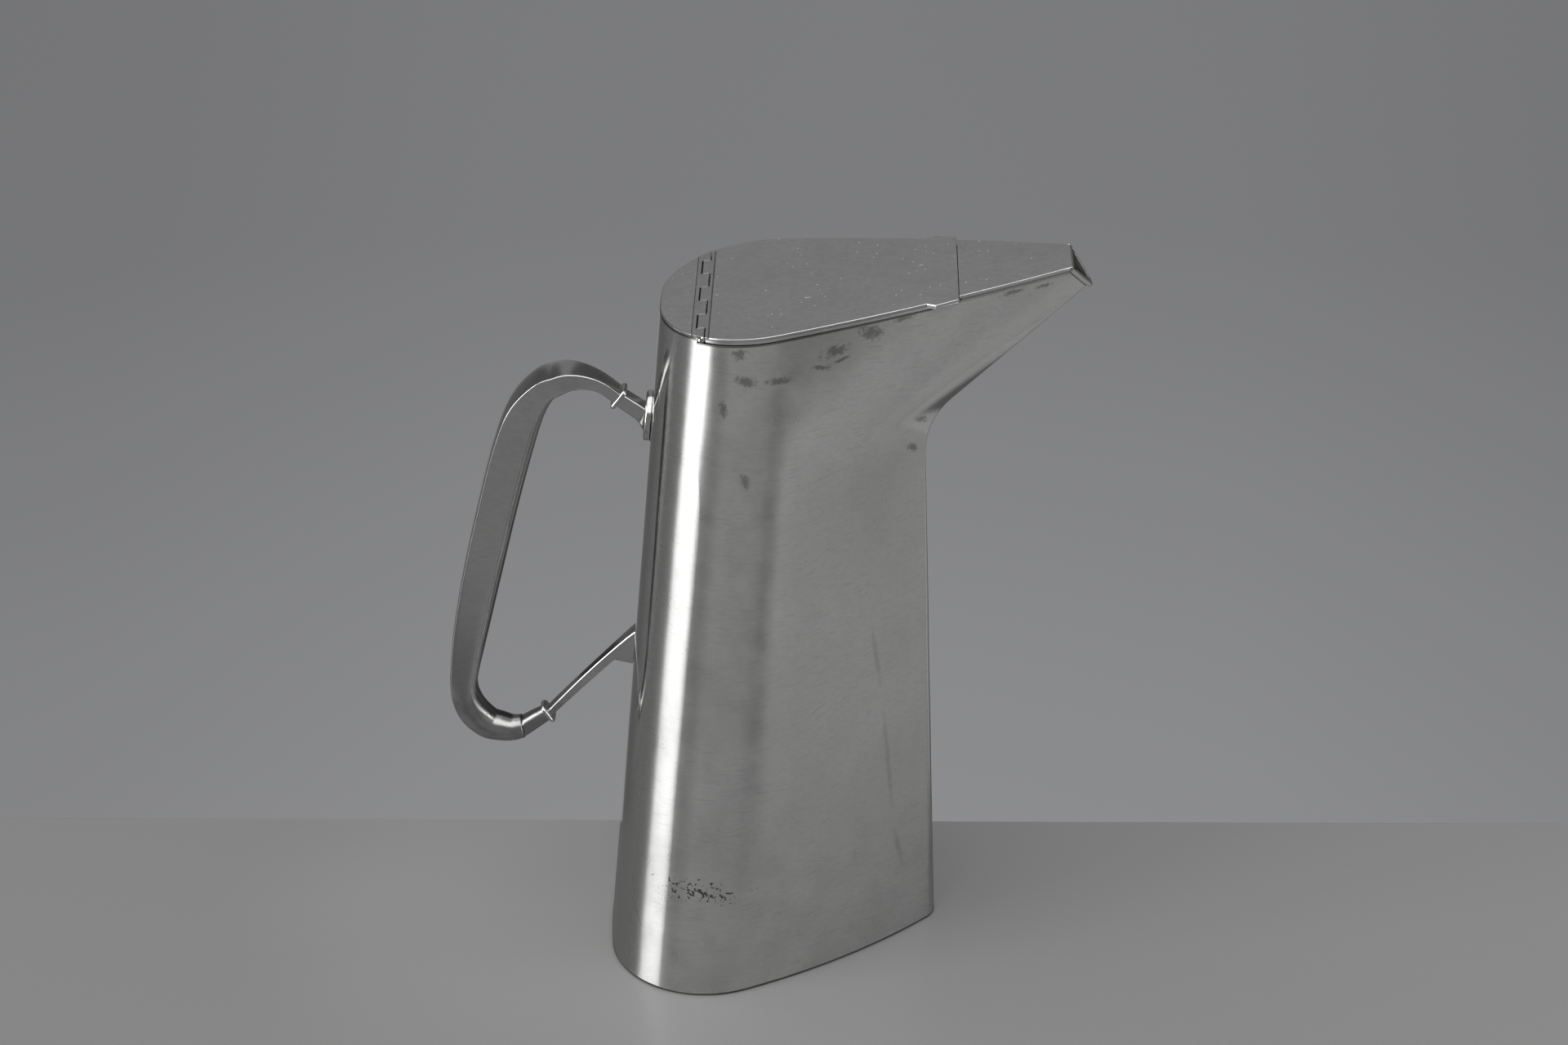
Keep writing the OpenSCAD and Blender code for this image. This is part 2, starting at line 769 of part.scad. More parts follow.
module handle_lower_bracket() {
    shares = steps(0, 1, strap_steps);
    past = strap_end + over * strap_way;
    color("gainsboro") difference() {
        intersection() {
            side_plate(2 * strap_width)
                polygon(concat(
                    [for (s = shares) strap_edge(s)],
                    [strap_end, past, past + strap_tip * strap_under],
                    [strap_end + strap_tip * strap_under, foot_corner, foot_low]
                ));
            linear_extrude(height = back_height)
                polygon(concat(
                    [for (s = shares) [strap_edge(s)[0], strap_half(s)]],
                    [[past[0], strap_tip_width / 2], [past[0], -strap_tip_width / 2]],
                    [for (s = reversed(shares)) [strap_edge(s)[0], -strap_half(s)]]
                ));
        }
        behind(lower_collar_centre - collar_thick / 2 * neck_way, neck_slope);
    }
}

body_shell();
base_plate();
rear_plate();
spout_cover();
spout_lip();
hinge_fixed_leaf();
fixed_knuckle(0);  // hinge_fixed_knuckle_1
fixed_knuckle(1);  // hinge_fixed_knuckle_2
fixed_knuckle(2);  // hinge_fixed_knuckle_3
fixed_knuckle(3);  // hinge_fixed_knuckle_4
hinge_pin();
hinge_lid_leaf();
lid_knuckle(0);  // hinge_lid_knuckle_1
lid_knuckle(1);  // hinge_lid_knuckle_2
lid_knuckle(2);  // hinge_lid_knuckle_3
lid_plate();
lid_rim();
handle_upper_disc();
handle_upper_stub();
handle_upper_collar();
handle_grip();
handle_neck();
handle_lower_collar();
handle_lower_bracket();
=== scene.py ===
import bmesh
import bpy
import numpy as np
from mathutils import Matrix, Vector, noise


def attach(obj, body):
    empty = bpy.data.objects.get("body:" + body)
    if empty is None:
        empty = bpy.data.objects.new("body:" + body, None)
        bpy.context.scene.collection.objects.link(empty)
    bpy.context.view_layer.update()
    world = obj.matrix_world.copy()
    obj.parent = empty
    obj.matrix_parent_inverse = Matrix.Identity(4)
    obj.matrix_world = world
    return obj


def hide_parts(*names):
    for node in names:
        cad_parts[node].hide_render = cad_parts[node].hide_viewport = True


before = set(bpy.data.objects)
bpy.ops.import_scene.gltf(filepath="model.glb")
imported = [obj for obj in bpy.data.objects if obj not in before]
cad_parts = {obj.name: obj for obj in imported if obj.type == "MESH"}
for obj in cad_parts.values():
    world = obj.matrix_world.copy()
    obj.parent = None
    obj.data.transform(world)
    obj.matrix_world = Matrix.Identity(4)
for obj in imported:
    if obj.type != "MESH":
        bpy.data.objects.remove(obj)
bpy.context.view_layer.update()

# The sizes and curves of the CAD source, in millimetres and degrees
base_length, base_width, back_height = 118, 111.4, 248.4
back_lean, front_lean = 4.9, 2
top_width, corner_spread, back_radius = 76.6, 8.6, 270
front_radius, keel_radius = 8.8, 2
base_bulge, top_bulge = 0.051, 0.026
wall, base_thick = 1, 1
throat_depth, keel_slope, throat_radius = 45.2, 44.3, 29
top_slope, mouth_setback, mouth_lean = 7.15, 19, 36.8
lip_width, lip_proud, lip_keel_proud = 1.5, 0.5, 1.2
plate_thick, rim_width, rim_gap, cover_length = 1.1, 2, 0.25, 38
cover_inset, cover_gap = 0.12, 0.4
ear_length, ear_slant, ear_proud, ear_step = 7.6, 2.9, 2.6, 0.53
hinge_setback, knuckle_radius, hinge_depth = 14.7, 1.4, 0.9
end_knuckle, knuckle_gap, leaf_gap = 7.1, 0.24, 0.26
fixed_reach, lid_reach, groove_width, groove_depth = 3, 2.6, 0.4, 0.6
pin_radius, pin_clearance = 0.5, 0.05


def sin(a):
    return np.sin(np.radians(a))


def cos(a):
    return np.cos(np.radians(a))


def tan(a):
    return np.tan(np.radians(a))


def turn(y, x):
    return np.degrees(np.arctan2(y, x))


def mix(a, b, share):
    return a + (b - a) * share


def back_x(z):
    return z * tan(back_lean) - base_length / 2


def edge_x(z):
    return base_length / 2 - z * tan(front_lean)


throat_height = back_height - throat_depth
throat_x = edge_x(throat_height)
bend_length = throat_radius * tan((90 + front_lean - keel_slope) / 2)
bend_low = throat_height - bend_length * cos(front_lean)
bend_high = throat_height + bend_length * sin(keel_slope)
bend_x = edge_x(bend_low) + throat_radius * cos(front_lean)
bend_z = bend_low + throat_radius * sin(front_lean)


def bend_angle(z):
    return np.degrees(np.arcsin(np.clip((z - bend_z) / throat_radius, -1, 1)))


def front_x(z):
    keel = throat_x + (z - throat_height) / tan(keel_slope)
    bend = bend_x - throat_radius * cos(bend_angle(z))
    return np.where(z < bend_low, edge_x(z), np.where(z < bend_high, bend, keel))


def front_slope(z):
    return np.where(z < bend_low, 90 + front_lean, np.where(z < bend_high, 90 - bend_angle(z), keel_slope))


top_x = back_x(back_height)
tip_x = (back_height - throat_height - top_x * tan(top_slope) + throat_x * tan(keel_slope)) / (
    tan(keel_slope) - tan(top_slope)
)
tip_z = back_height + (tip_x - top_x) * tan(top_slope)
top_length = (tip_x - top_x) / cos(top_slope) - mouth_setback
lid_front = top_length - cover_length
lid_depth = hinge_depth + knuckle_radius
ear_thick = mix(plate_thick, lid_depth - rim_gap, ear_step)
mouth_x = top_x + top_length * cos(top_slope)
mouth_z = back_height + top_length * sin(top_slope)
bend_low_share = bend_low / tip_z
corner_radius = (top_width - corner_spread) / 2
step_at = hinge_setback - knuckle_radius
cover_from = lid_front + cover_gap
CORNER, SIDE, FRONT = 1, 2, 3  # the arcs after that of the back, which is 0


def ring_point(arc, t, share, inset=0.0, extra=0.0):
    """Where a column of the shell's far half meets the ring at a share of the height, in the ring's plane.
    A column is one of four tangent arcs and the share t of the way along it."""
    bz, fz = share * back_height, share * tip_z
    bx, fx = back_x(bz), front_x(fz)
    length, tilt = np.hypot(fx - bx, fz - bz), turn(fz - bz, fx - bx)
    lean = 1 / sin(front_slope(fz) - tilt)
    shift = inset * (lean - 1) - extra * lean
    half = mix(base_width, top_width, share) / 2
    bulge = mix(base_bulge, top_bulge, share)
    front_r = mix(front_radius, keel_radius, np.clip(share / bend_low_share, 0, 1))
    cy = half - corner_radius
    cx = back_radius - np.sqrt((back_radius - corner_radius) ** 2 - cy**2)
    side_r = np.hypot(length - cx, half) / (8 * bulge)
    fx0 = length - front_r - shift
    far = np.hypot(fx0 - cx, cy)
    ux, uy = (fx0 - cx) / far, -cy / far
    along = ((side_r - corner_radius) ** 2 - (side_r - front_r) ** 2 + far**2) / (2 * far)
    across = np.sqrt((side_r - corner_radius) ** 2 - along**2)
    sx, sy = cx + along * ux + across * uy, cy + along * uy - across * ux
    turns = [
        180.0 + 0 * cy,
        turn(cy, cx - back_radius),
        turn(cy - sy, cx - sx),
        turn(-sy, fx0 - sx),
        0.0 * cy,
    ]
    angle = mix(np.choose(arc, turns[:4]), np.choose(arc, turns[1:]), t)
    radius = np.choose(arc, [back_radius + 0 * cy, corner_radius + 0 * cy, side_r, front_r]) - inset
    return (
        np.choose(arc, [back_radius + 0 * cy, cx, sx, fx0]) + radius * cos(angle),
        np.choose(arc, [0 * cy, cy, sy, 0 * cy]) + radius * sin(angle),
    )


def surface(arc, t, share, inset=0.0, extra=0.0):
    """The same as a point of the model."""
    x, y = ring_point(arc, t, share, inset, extra)
    bz, fz = share * back_height, share * tip_z
    bx, fx = back_x(bz), front_x(fz)
    tilt = turn(fz - bz, fx - bx)
    return np.stack([bx + x * cos(tilt), y, bz + x * sin(tilt)], -1)


def above_top(p):
    """Height over the plane of the top."""
    return (p[..., 2] - back_height) * cos(top_slope) - (p[..., 0] - top_x) * sin(top_slope)


def along_top(p):
    """Distance along the top from its rear edge."""
    return (p[..., 0] - top_x) * cos(top_slope) + (p[..., 2] - back_height) * sin(top_slope)


def past_mouth(p):
    """Distance beyond the plane of the mouth."""
    return (p[..., 0] - mouth_x) * cos(mouth_lean) + (p[..., 2] - mouth_z) * sin(mouth_lean)


def halve(f, low, high, turns=44):
    """The point between low and high where f turns from negative to positive."""
    low, high = np.broadcast_arrays(np.asarray(low, float), np.asarray(high, float))
    low, high = low.copy(), high.copy()
    for _ in range(turns):
        middle = (low + high) / 2
        beyond = f(middle) > 0
        high = np.where(beyond, middle, high)
        low = np.where(beyond, low, middle)
    return (low + high) / 2


def share_at(f, arc, t, inset=0.0, extra=0.0, low=0.4, high=1.05):
    """The share of the height at which a column crosses f = 0."""
    low = np.full(np.shape(arc), low)
    return halve(lambda s: f(surface(arc, t, s, inset, extra)), low, high)


def column_at(arc, f, depth):
    """How far along an arc the shell's top edge, cut at a depth, meets f = 0."""

    def g(t):
        share = share_at(lambda p: above_top(p) + depth, np.array(arc), t)
        return f(surface(np.array(arc), t, share))

    return float(halve(g, 0.0, 1.0))


lid_end = (lid_front + cover_from) / 2
t_step = column_at(CORNER, lambda p: along_top(p) - step_at, lid_depth)
t_lid = column_at(SIDE, lambda p: along_top(p) - lid_end, lid_depth)
t_mouth = column_at(SIDE, past_mouth, plate_thick)


def half_columns(counts=(10, 20, 34, 12)):
    """Columns of the far half as (arc, t, depth of the cut), with doubled ones where the top edge steps."""
    apart, beside = 0.008, 1e-4
    step, last = CORNER + t_step, SIDE + t_lid
    made = [(arc, i / n) for arc, n in enumerate(counts) for i in range(n)] + [(FRONT, 1.0)]
    made = [c for c in made if min(abs(c[0] + c[1] - mark) for mark in (step, last, SIDE + t_mouth)) > apart]
    made.append((SIDE, t_mouth))
    rows = [(a, t, lid_depth if step < a + t < last else plate_thick) for a, t in made]
    rows += [(CORNER, t_step - beside, plate_thick), (CORNER, t_step + beside, lid_depth)]
    rows += [(SIDE, t_lid - beside, lid_depth), (SIDE, t_lid + beside, plate_thick)]
    return sorted(rows, key=lambda r: r[0] + r[1])


def top_outline(inset=0.0, counts=(10, 24, 60, 10)):
    """The far half of the top's outline as (along, across)."""
    arc = np.array([a for a, n in enumerate(counts) for _ in range(n)] + [FRONT])
    t = np.array([i / n for n in counts for i in range(n)] + [1.0])
    return np.stack(ring_point(arc, t, np.ones(len(t)), inset), -1)


OUTLINE = top_outline()


def half_width(x, outline=OUTLINE):
    return np.interp(x, outline[:, 0], outline[:, 1])


def stretch(x0, x1, outline=OUTLINE):
    """The far half's outline between two distances along the top."""
    inside = outline[(outline[:, 0] > x0 + 0.05) & (outline[:, 0] < x1 - 0.05)]
    ends = [[x0, half_width(x0, outline)], [x1, half_width(x1, outline)]]
    return np.concatenate([ends[:1], inside, ends[1:]])


def both(half):
    """A polygon that is the same on both sides, from its far half."""
    near = half[::-1] * [1, -1]
    keep = np.abs(near[:, 1]) > 1e-6
    return np.concatenate([half, near[keep]])


# Handle
upper_mount = back_height - 44.5
lower_mount = upper_mount - 84.2
disc_radius, disc_thick = 9, 2.3
stub_rise, stub_slope, stub_length = 0.7, 36.3, 10.1
stub_root, stub_tip, stub_width = 5.5, 5, 6.4
collar_height, collar_width, collar_round, collar_thick = 8.2, 8.2, 1.3, 1.5
lower_collar, lower_collar_round = 0.94, 2.4
foot_height, foot_length, foot_rise = 13.7, 6.4, 1.1
strap_slope, strap_length, strap_tip, strap_arch = 47, 47.2, 2.5, 0.5
strap_width, strap_waist, strap_tip_width = 6.6, 4.6, 5.4
neck_slope, neck_length, joint_slope = 35, 10.3, 10
neck_tip, neck_root, neck_bevel = 5.2, 6.9, 0.22
grip_reach, grip_depth, grip_width, grip_crown, flank = 29.4, 13.5, 14, 0.55, 0.72
# Share of the way from its lower to its upper end, reach away from that line, depth, width and roundness
grip_shares = np.array([
    [0, 0, 0.63, 0.61, 1],
    [-0.013, 0.136, 0.71, 0.73, 1],
    [-0.016, 0.284, 0.79, 0.82, 1],
    [-0.014, 0.441, 0.84, 0.86, 1],
    [0.012, 0.634, 0.83, 0.86, 0.8],
    [0.049, 0.764, 0.74, 0.87, 0.5],
    [0.086, 0.829, 0.69, 0.89, 0.2],
    [0.129, 0.865, 0.72, 0.91, 0.05],
    [0.258, 0.92, 0.88, 0.96, 0],
    [0.435, 0.966, 0.97, 0.97, 0],
    [0.631, 0.995, 0.99, 0.97, 0],
    [0.792, 1, 1, 0.98, 0],
    [0.896, 0.966, 0.93, 0.99, 0],
    [0.968, 0.849, 0.73, 1, 0],
    [0.998, 0.709, 0.63, 0.98, 0],
    [1.014, 0.59, 0.57, 0.89, 0],
    [1.022, 0.415, 0.46, 0.74, 0],
    [1.019, 0.221, 0.36, 0.62, 0],
    [1, 0, 0.34, 0.57, 0],
])


def way(slope):
    return np.array([cos(slope), sin(slope)])


back_out = way(180 - back_lean)
disc_centre = np.array([back_x(upper_mount), upper_mount])
stub_way = way(180 - stub_slope)
stub_start = disc_centre + disc_thick * back_out + [0, stub_rise]
upper_centre = stub_start + (stub_length + collar_thick / 2) * stub_way
grip_top = upper_centre + collar_thick / 2 * stub_way
strap_way, strap_under = way(180 + strap_slope), way(strap_slope - 90)
strap_top = np.array([back_x(lower_mount), lower_mount])
strap_end = strap_top + strap_length * strap_way
foot_low = np.array([back_x(lower_mount - foot_height), lower_mount - foot_height])
foot_corner = foot_low + [-foot_length, foot_rise]
neck_way = way(180 + neck_slope)
lower_centre = strap_end + strap_tip / 2 * strap_under + collar_thick / 2 * neck_way
grip_bottom = lower_centre + (collar_thick / 2 + neck_length) * neck_way


def smooth_rows(rows, count):
    """A smooth curve through rows of numbers, the same way in every column."""
    r = np.concatenate([[2 * rows[0] - rows[1]], rows, [2 * rows[-1] - rows[-2]]])
    made = []
    for k in range(1, len(rows)):
        a, b, c, d = r[k - 1 : k + 3]
        for t in np.arange(count) / count:
            made.append(
                0.5 * (2 * b + (c - a) * t + (2 * a - 5 * b + 4 * c - d) * t**2 + (3 * b - a - 3 * c + d) * t**3)
            )
    return np.array(made + [rows[-1]])


# Mesh helpers. Every shape is made in millimetres, and its piece is written in metres.
edge_soft = 0.04  # a barely broken edge
plate_round = 0.28  # the upper edge of the top plates
corner_cut = 0.293  # where a rounded corner's middle lies, as a share of its radius
square_share = 0.15  # how much of a rounding the square edges keep


def on_top(x, y, h):
    """Points given along, across and over the top, as points of the model."""
    x, y, h = np.broadcast_arrays(*(np.asarray(v, float) for v in (x, y, h)))
    return np.stack(
        [top_x + x * cos(top_slope) - h * sin(top_slope), y, back_height + x * sin(top_slope) + h * cos(top_slope)],
        -1,
    )


def add_mesh(name, points, faces):
    """A new object of points in metres, welded and with its faces turned outwards."""
    mesh = bpy.data.meshes.new(name)
    mesh.from_pydata(np.asarray(points).tolist(), [], faces)
    work = bmesh.new()
    work.from_mesh(mesh)
    bmesh.ops.remove_doubles(work, verts=work.verts, dist=1e-8)
    bmesh.ops.recalc_face_normals(work, faces=work.faces)
    work.to_mesh(mesh)
    work.free()
    piece = bpy.data.objects.new(name, mesh)
    bpy.context.scene.collection.objects.link(piece)
    return piece


def skin(rings, closed=False):
    """Points and faces through rings that all have the same number of points."""
    count, last = len(rings[0]), len(rings)
    faces = []
    for k in range(last if closed else last - 1):
        a, b = k * count, (k + 1) % last * count
        faces += [(a + i, a + (i + 1) % count, b + (i + 1) % count, b + i) for i in range(count)]
    if not closed:
        faces += [tuple(range(count)), tuple(range((last - 1) * count, last * count))]
    return np.concatenate(rings), faces


def joined(*parts):
    points, faces, start = [], [], 0
    for p, f in parts:
        points.append(p)
        faces += [tuple(i + start for i in face) for face in f]
        start += len(p)
    return np.concatenate(points), faces


def shrink(polygon, by):
    """A polygon moved inwards by a small distance."""
    p = np.asarray(polygon, float)
    edge = np.roll(p, -1, 0) - p
    normal = np.stack([edge[:, 1], -edge[:, 0]], 1) / np.linalg.norm(edge, axis=1)[:, None]
    area = np.sum(p[:, 0] * np.roll(p[:, 1], -1) - np.roll(p[:, 0], -1) * p[:, 1])
    normal *= np.sign(area)
    before = np.roll(normal, 1, 0)
    meet = 1 + np.sum(normal * before, 1)
    return p - by * (normal + before) / np.maximum(meet, 0.35)[:, None]


def slab(polygon, low, high, low_round=0.0, high_round=0.0, end_lean=0.0, square=(-1e9, 1e9)):
    """A plate in the top's frame with rounded edges. end_lean slants its end at the mouth, and the edges
    beyond the two limits of square stay almost sharp."""
    levels = []
    for level, r, inwards in ((low, low_round, 1), (high, high_round, -1)):
        steps = [(r, 0), (corner_cut * r, corner_cut * r), (0, r)] if r else [(0, 0)]
        rows = [(inset, level + inwards * lift) for inset, lift in steps]
        levels += rows if inwards > 0 else rows[::-1]
    rings = []
    for inset, level in levels:
        flat = np.asarray(polygon, float)
        p = shrink(flat, inset) if inset else flat
        ends = (flat[:, 0] < square[0]) | (flat[:, 0] > square[1])
        p = np.stack([np.where(ends, mix(flat[:, 0], p[:, 0], square_share), p[:, 0]), p[:, 1]], 1)
        end = p[:, 0] > top_length - 1
        rings.append(on_top(p[:, 0] - np.where(end, level * end_lean, 0), p[:, 1], level))
    return skin(rings)


# Slight unevenness of the raised sheet in mm: length and height of long and of short waves, the short ones
# drawn out upwards, and how far from the rims and from the foot they fade
long_wave, long_height = 34, 0.11
short_wave, short_height, short_drawn = 15, 0.018, 0.6
rim_fade, foot_fade = 9, 8


# Body shell: an outer and an inner skin over the same columns, closed at the top and bottom edges
def shell():
    half = half_columns()
    near = [c for c in half[::-1] if 1e-9 < c[0] + c[1] < FRONT + 1 - 1e-9]
    columns = [(*c, 1) for c in half] + [(*c, -1) for c in near]
    arc = np.array([c[0] for c in columns])
    t = np.array([c[1] for c in columns])
    cut = np.array([c[2] for c in columns])
    side = np.array([[1, c[3], 1] for c in columns])

    def ring(share, inset=0.0):
        return surface(arc, t, share, inset) * side

    def end(inset, back):
        return share_at(lambda p: np.maximum(above_top(p) + cut + back, past_mouth(p) + back), arc, t, inset)

    start, start_in = (
        share_at(lambda p: p[..., 2] - base_thick, arc, t, inset, 0.0, -0.02, 0.2) for inset in (0.0, wall)
    )
    soft = edge_soft
    ends, ends_in = end(0.0, soft), end(wall, soft)
    rows = np.concatenate(
        [[0, 0.003, 0.008], np.linspace(0.016, 0.72, 40), np.linspace(0.732, 0.9, 22), np.linspace(0.91, 1, 12)]
    )
    outer = [ring(mix(start, ends, r)) for r in rows]
    for k, r in enumerate(rows):
        p = outer[k]
        across = np.roll(p, -1, 0) - np.roll(p, 1, 0)
        up = ring(mix(start, ends, r) + 1e-4) - ring(mix(start, ends, r) - 1e-4)
        normal = np.cross(up, across)
        normal /= np.linalg.norm(normal, axis=1)[:, None]
        fade = np.clip(-above_top(p) / rim_fade, 0, 1) * np.clip(p[:, 2] / foot_fade, 0, 1)
        fade = fade * np.clip(-past_mouth(p) / rim_fade, 0, 1)
        wave = [
            noise.noise(Vector(q) / long_wave) * long_height
            + noise.noise(Vector((q[0], q[1], q[2] * short_drawn)) / short_wave) * short_height
            for q in p
        ]
        outer[k] = p + normal * (np.array(wave) * fade)[:, None]
    inner = [ring(mix(start_in, ends_in, r), wall) for r in rows]
    lip_out, lip_in = ring(end(soft, 0.0), soft), ring(end(wall - soft, 0.0), wall - soft)
    rings = outer + [lip_out, lip_in] + inner[::-1]
    return skin(rings, closed=True)


def base():
    arc, t, _ = (np.array(v) for v in zip(*half_columns()))
    far = np.stack(ring_point(arc, t, 0 * t), -1)
    outline = both(far) + [back_x(0), 0]
    profile = (1.2, 0), (0.5, 0.06), (0.15, 0.3), (0, 0.62), (0, base_thick - 0.06), (0.1, base_thick)
    rings = []
    for inset, z in profile:
        p = shrink(outline, inset) if inset else outline
        rings.append(np.concatenate([p, np.full((len(p), 1), z)], 1))
    return skin(rings)


def rear_plate():
    far = hinge_setback - fixed_reach
    return slab(both(stretch(0, far)), -plate_thick, 0, 0.06, plate_round, square=(-1e9, far - 0.1))


def spout_cover():
    polygon = both(stretch(lid_front + 0.2, top_length, top_outline(cover_inset)))
    square = (lid_front + 0.3, top_length - 0.1)
    return slab(polygon, -plate_thick, 0, 0.1, plate_round, tan(mouth_lean - top_slope), square)


def lip():
    """A half-round band round the outside of the mouth."""
    run = [(SIDE, v) for v in np.linspace(t_mouth - 0.02, 1, 26)] + [(FRONT, v) for v in np.linspace(0, 1, 15)[1:]]
    arc, t = np.array([r[0] for r in run]), np.array([r[1] for r in run])
    # how proud of the shell, as a share, and how far behind the mouth for a band of 1.5 mm
    profile = (0, 0), (0.55, 0), (0.92, 0.14), (1, 0.42), (1, 1.05), (0.86, 1.32), (0.45, 1.47), (0, 1.5), (-0.3, 0.75)
    rows = []
    for proud, back in profile:
        inset, extra = -lip_proud * proud, (lip_keel_proud - lip_proud) * proud
        share = share_at(lambda p, b=back: past_mouth(p) + b * lip_width / 1.5, arc, t, inset, extra, 0.7, 1.2)
        p = surface(arc, t, share, inset, extra)
        high = np.maximum(above_top(p), 0)
        p = p - high[:, None] * [-sin(top_slope), 0, cos(top_slope)]
        rows.append(np.concatenate([p, p[-2::-1] * [1, -1, 1]]))
    return skin(list(np.stack(rows, 1)))


# Hinge and lid. A span across the top is its low and high end, where None is the top's own edge.
hinge_end_inner = half_width(hinge_setback + knuckle_radius) - end_knuckle
pitch = hinge_end_inner / 2.5
fixed_spans = [(hinge_end_inner, None), (pitch / 2, 1.5 * pitch), (-1.5 * pitch, -pitch / 2), (None, -hinge_end_inner)]
lid_spans = [(1.5 * pitch, hinge_end_inner), (-pitch / 2, pitch / 2), (-hinge_end_inner, -1.5 * pitch)]


def knuckle(span, bore):
    flat = np.degrees(np.arccos(hinge_depth / knuckle_radius))
    count = 41
    angle = np.concatenate([np.linspace(90 + flat, 450 - flat, count), np.linspace(0, 1, 7)[1:-1]])
    x, h = cos(angle) * knuckle_radius, sin(angle) * knuckle_radius
    edge = abs(x[0])
    x[count:], h[count:] = mix(edge, -edge, angle[count:]), hinge_depth
    unit = np.hypot(x, h)
    rings = []
    soft = edge_soft
    for end, way_in in ((span[0], 1), (span[1], -1)):
        y = end + way_in * knuckle_gap / 2 if end is not None else -way_in * (half_width(hinge_setback + x) - 0.02)
        rows = [(bore / unit, 0), (1 - soft / unit, 0), (1, soft)]
        made = [
            on_top(hinge_setback + x * grow, y + way_in * lift, h * grow - hinge_depth) for grow, lift in rows
        ]
        rings += made if way_in > 0 else made[::-1]
    return skin(rings, closed=True)


def leaf(far_edge, near_edge, finger, spans):
    """A strip of the top along the hinge, with fingers that reach its own knuckles."""
    gap = knuckle_gap / 2

    def rim(side, xs):
        return [(x, side * half_width(x)) for x in xs]

    polygon = [] if spans[0][1] is None else rim(1, [near_edge])
    for low, high in spans:
        if high is None:
            polygon += rim(1, np.linspace(near_edge, finger, 4))
        else:
            polygon += [(near_edge, high - gap), (finger, high - gap)]
        if low is None:
            polygon += rim(-1, np.linspace(finger, near_edge, 4))
        else:
            polygon += [(finger, low + gap), (near_edge, low + gap)]
    if spans[-1][0] is not None:
        polygon += rim(-1, [near_edge])
    xs = np.linspace(near_edge, far_edge, 5)[1:]
    polygon += rim(-1, xs) + rim(1, xs[::-1])
    return slab(np.array(polygon), -plate_thick, 0, 0, 0.05)


def ear(side, low, high, low_round):
    """The underside of one of the lid's thumb tabs, on the side 1 or -1."""
    rear = lid_front - ear_length
    outer = np.array([rear, half_width(rear) + ear_proud])
    meets = np.array([rear - ear_slant, half_width(rear - ear_slant)])
    front = half_width(lid_front)
    p = np.array(
        [
            mix(outer, meets, 1.6),
            outer,
            [lid_front - 0.2, front + ear_proud],
            [lid_front, front + ear_proud - 0.35],
            [lid_front, front - 2 * rim_width],
        ]
    )
    return slab(p * [1, side], low, high, low_round)


def lid_half(start):
    """Far half of the lid's outline with its thumb tab, from a distance along the top to the front edge."""
    rear = lid_front - ear_length
    front = half_width(lid_front) + ear_proud
    tab = [
        [rear, half_width(rear) + ear_proud],
        [lid_front - 1.0, front],
        [lid_front - 0.3, front - 0.25],
        [lid_front, front - 0.9],
    ]
    return np.concatenate([stretch(start, rear - ear_slant), tab])


def lid_plate():
    start = hinge_setback + lid_reach
    square = (start + groove_width + 0.1, lid_front - 0.1)
    upper = slab(both(lid_half(start + groove_width)), -groove_depth, 0, 0, 0.3, square=square)
    lower = slab(both(lid_half(start)), -plate_thick, -groove_depth)
    tabs = [ear(side, -ear_thick, -plate_thick + 0.02, 0.1) for side in (1, -1)]
    return joined(upper, lower, *tabs)


def lid_rim():
    start = hinge_setback + knuckle_radius + leaf_gap
    outer = stretch(start, lid_front)
    inner = stretch(start, lid_front - rim_width, top_outline(rim_width))
    polygon = np.concatenate([outer, outer[::-1] * [1, -1], inner * [1, -1], inner[::-1]])
    return slab(polygon, -(lid_depth - rim_gap), -plate_thick, 0.3, 0.02)


# Handle pieces
def spot(p, y=0.0):
    return np.stack(np.broadcast_arrays(p[..., 0], y, p[..., 1]), -1).astype(float)


def across_plane(centre, slope, heights, widths, along=0.0):
    """Points of a plane across a slope: heights run up the plane and widths along y."""
    up, out = np.array([sin(slope), -cos(slope)]), way(slope)
    p = centre + np.asarray(heights)[:, None] * up + along * out
    return spot(p, np.asarray(widths))


def rounded_rectangle(height, width, radius, steps=7):
    made = []
    for sx, sy, start in ((1, 1, 0), (-1, 1, 90), (-1, -1, 180), (1, -1, 270)):
        a = np.linspace(start, start + 90, steps)
        made.append(
            np.stack([sx * (height / 2 - radius) + radius * cos(a), sy * (width / 2 - radius) + radius * sin(a)], 1)
        )
    return np.concatenate(made)


def collar(centre, slope, height, width, radius, soft):
    face = (2.0, 0.5), (soft, 0.5), (soft * 0.3, 0.5 - 0.18), (0, 0.1)
    rings = []
    for inset, along in [(inset, -along) for inset, along in face] + list(face[::-1]):
        r = max(radius - inset, 0.25)
        p = rounded_rectangle(height - 2 * inset, width - 2 * inset, r)
        rings.append(across_plane(centre, slope, p[:, 0], p[:, 1], along * collar_thick))
    return skin(rings)


def disc():
    a = np.arange(96) * 3.75
    profile = (0.2, 0), (0, 0.15), (0, 1.5), (0.22, 1.95), (0.7, 2.22), (1.5, disc_thick), (3.5, disc_thick)
    rings = []
    for inset, along in profile:
        r = disc_radius - inset
        rings.append(across_plane(disc_centre, 180 - back_lean, r * cos(a), r * sin(a), along))
    return skin(rings)


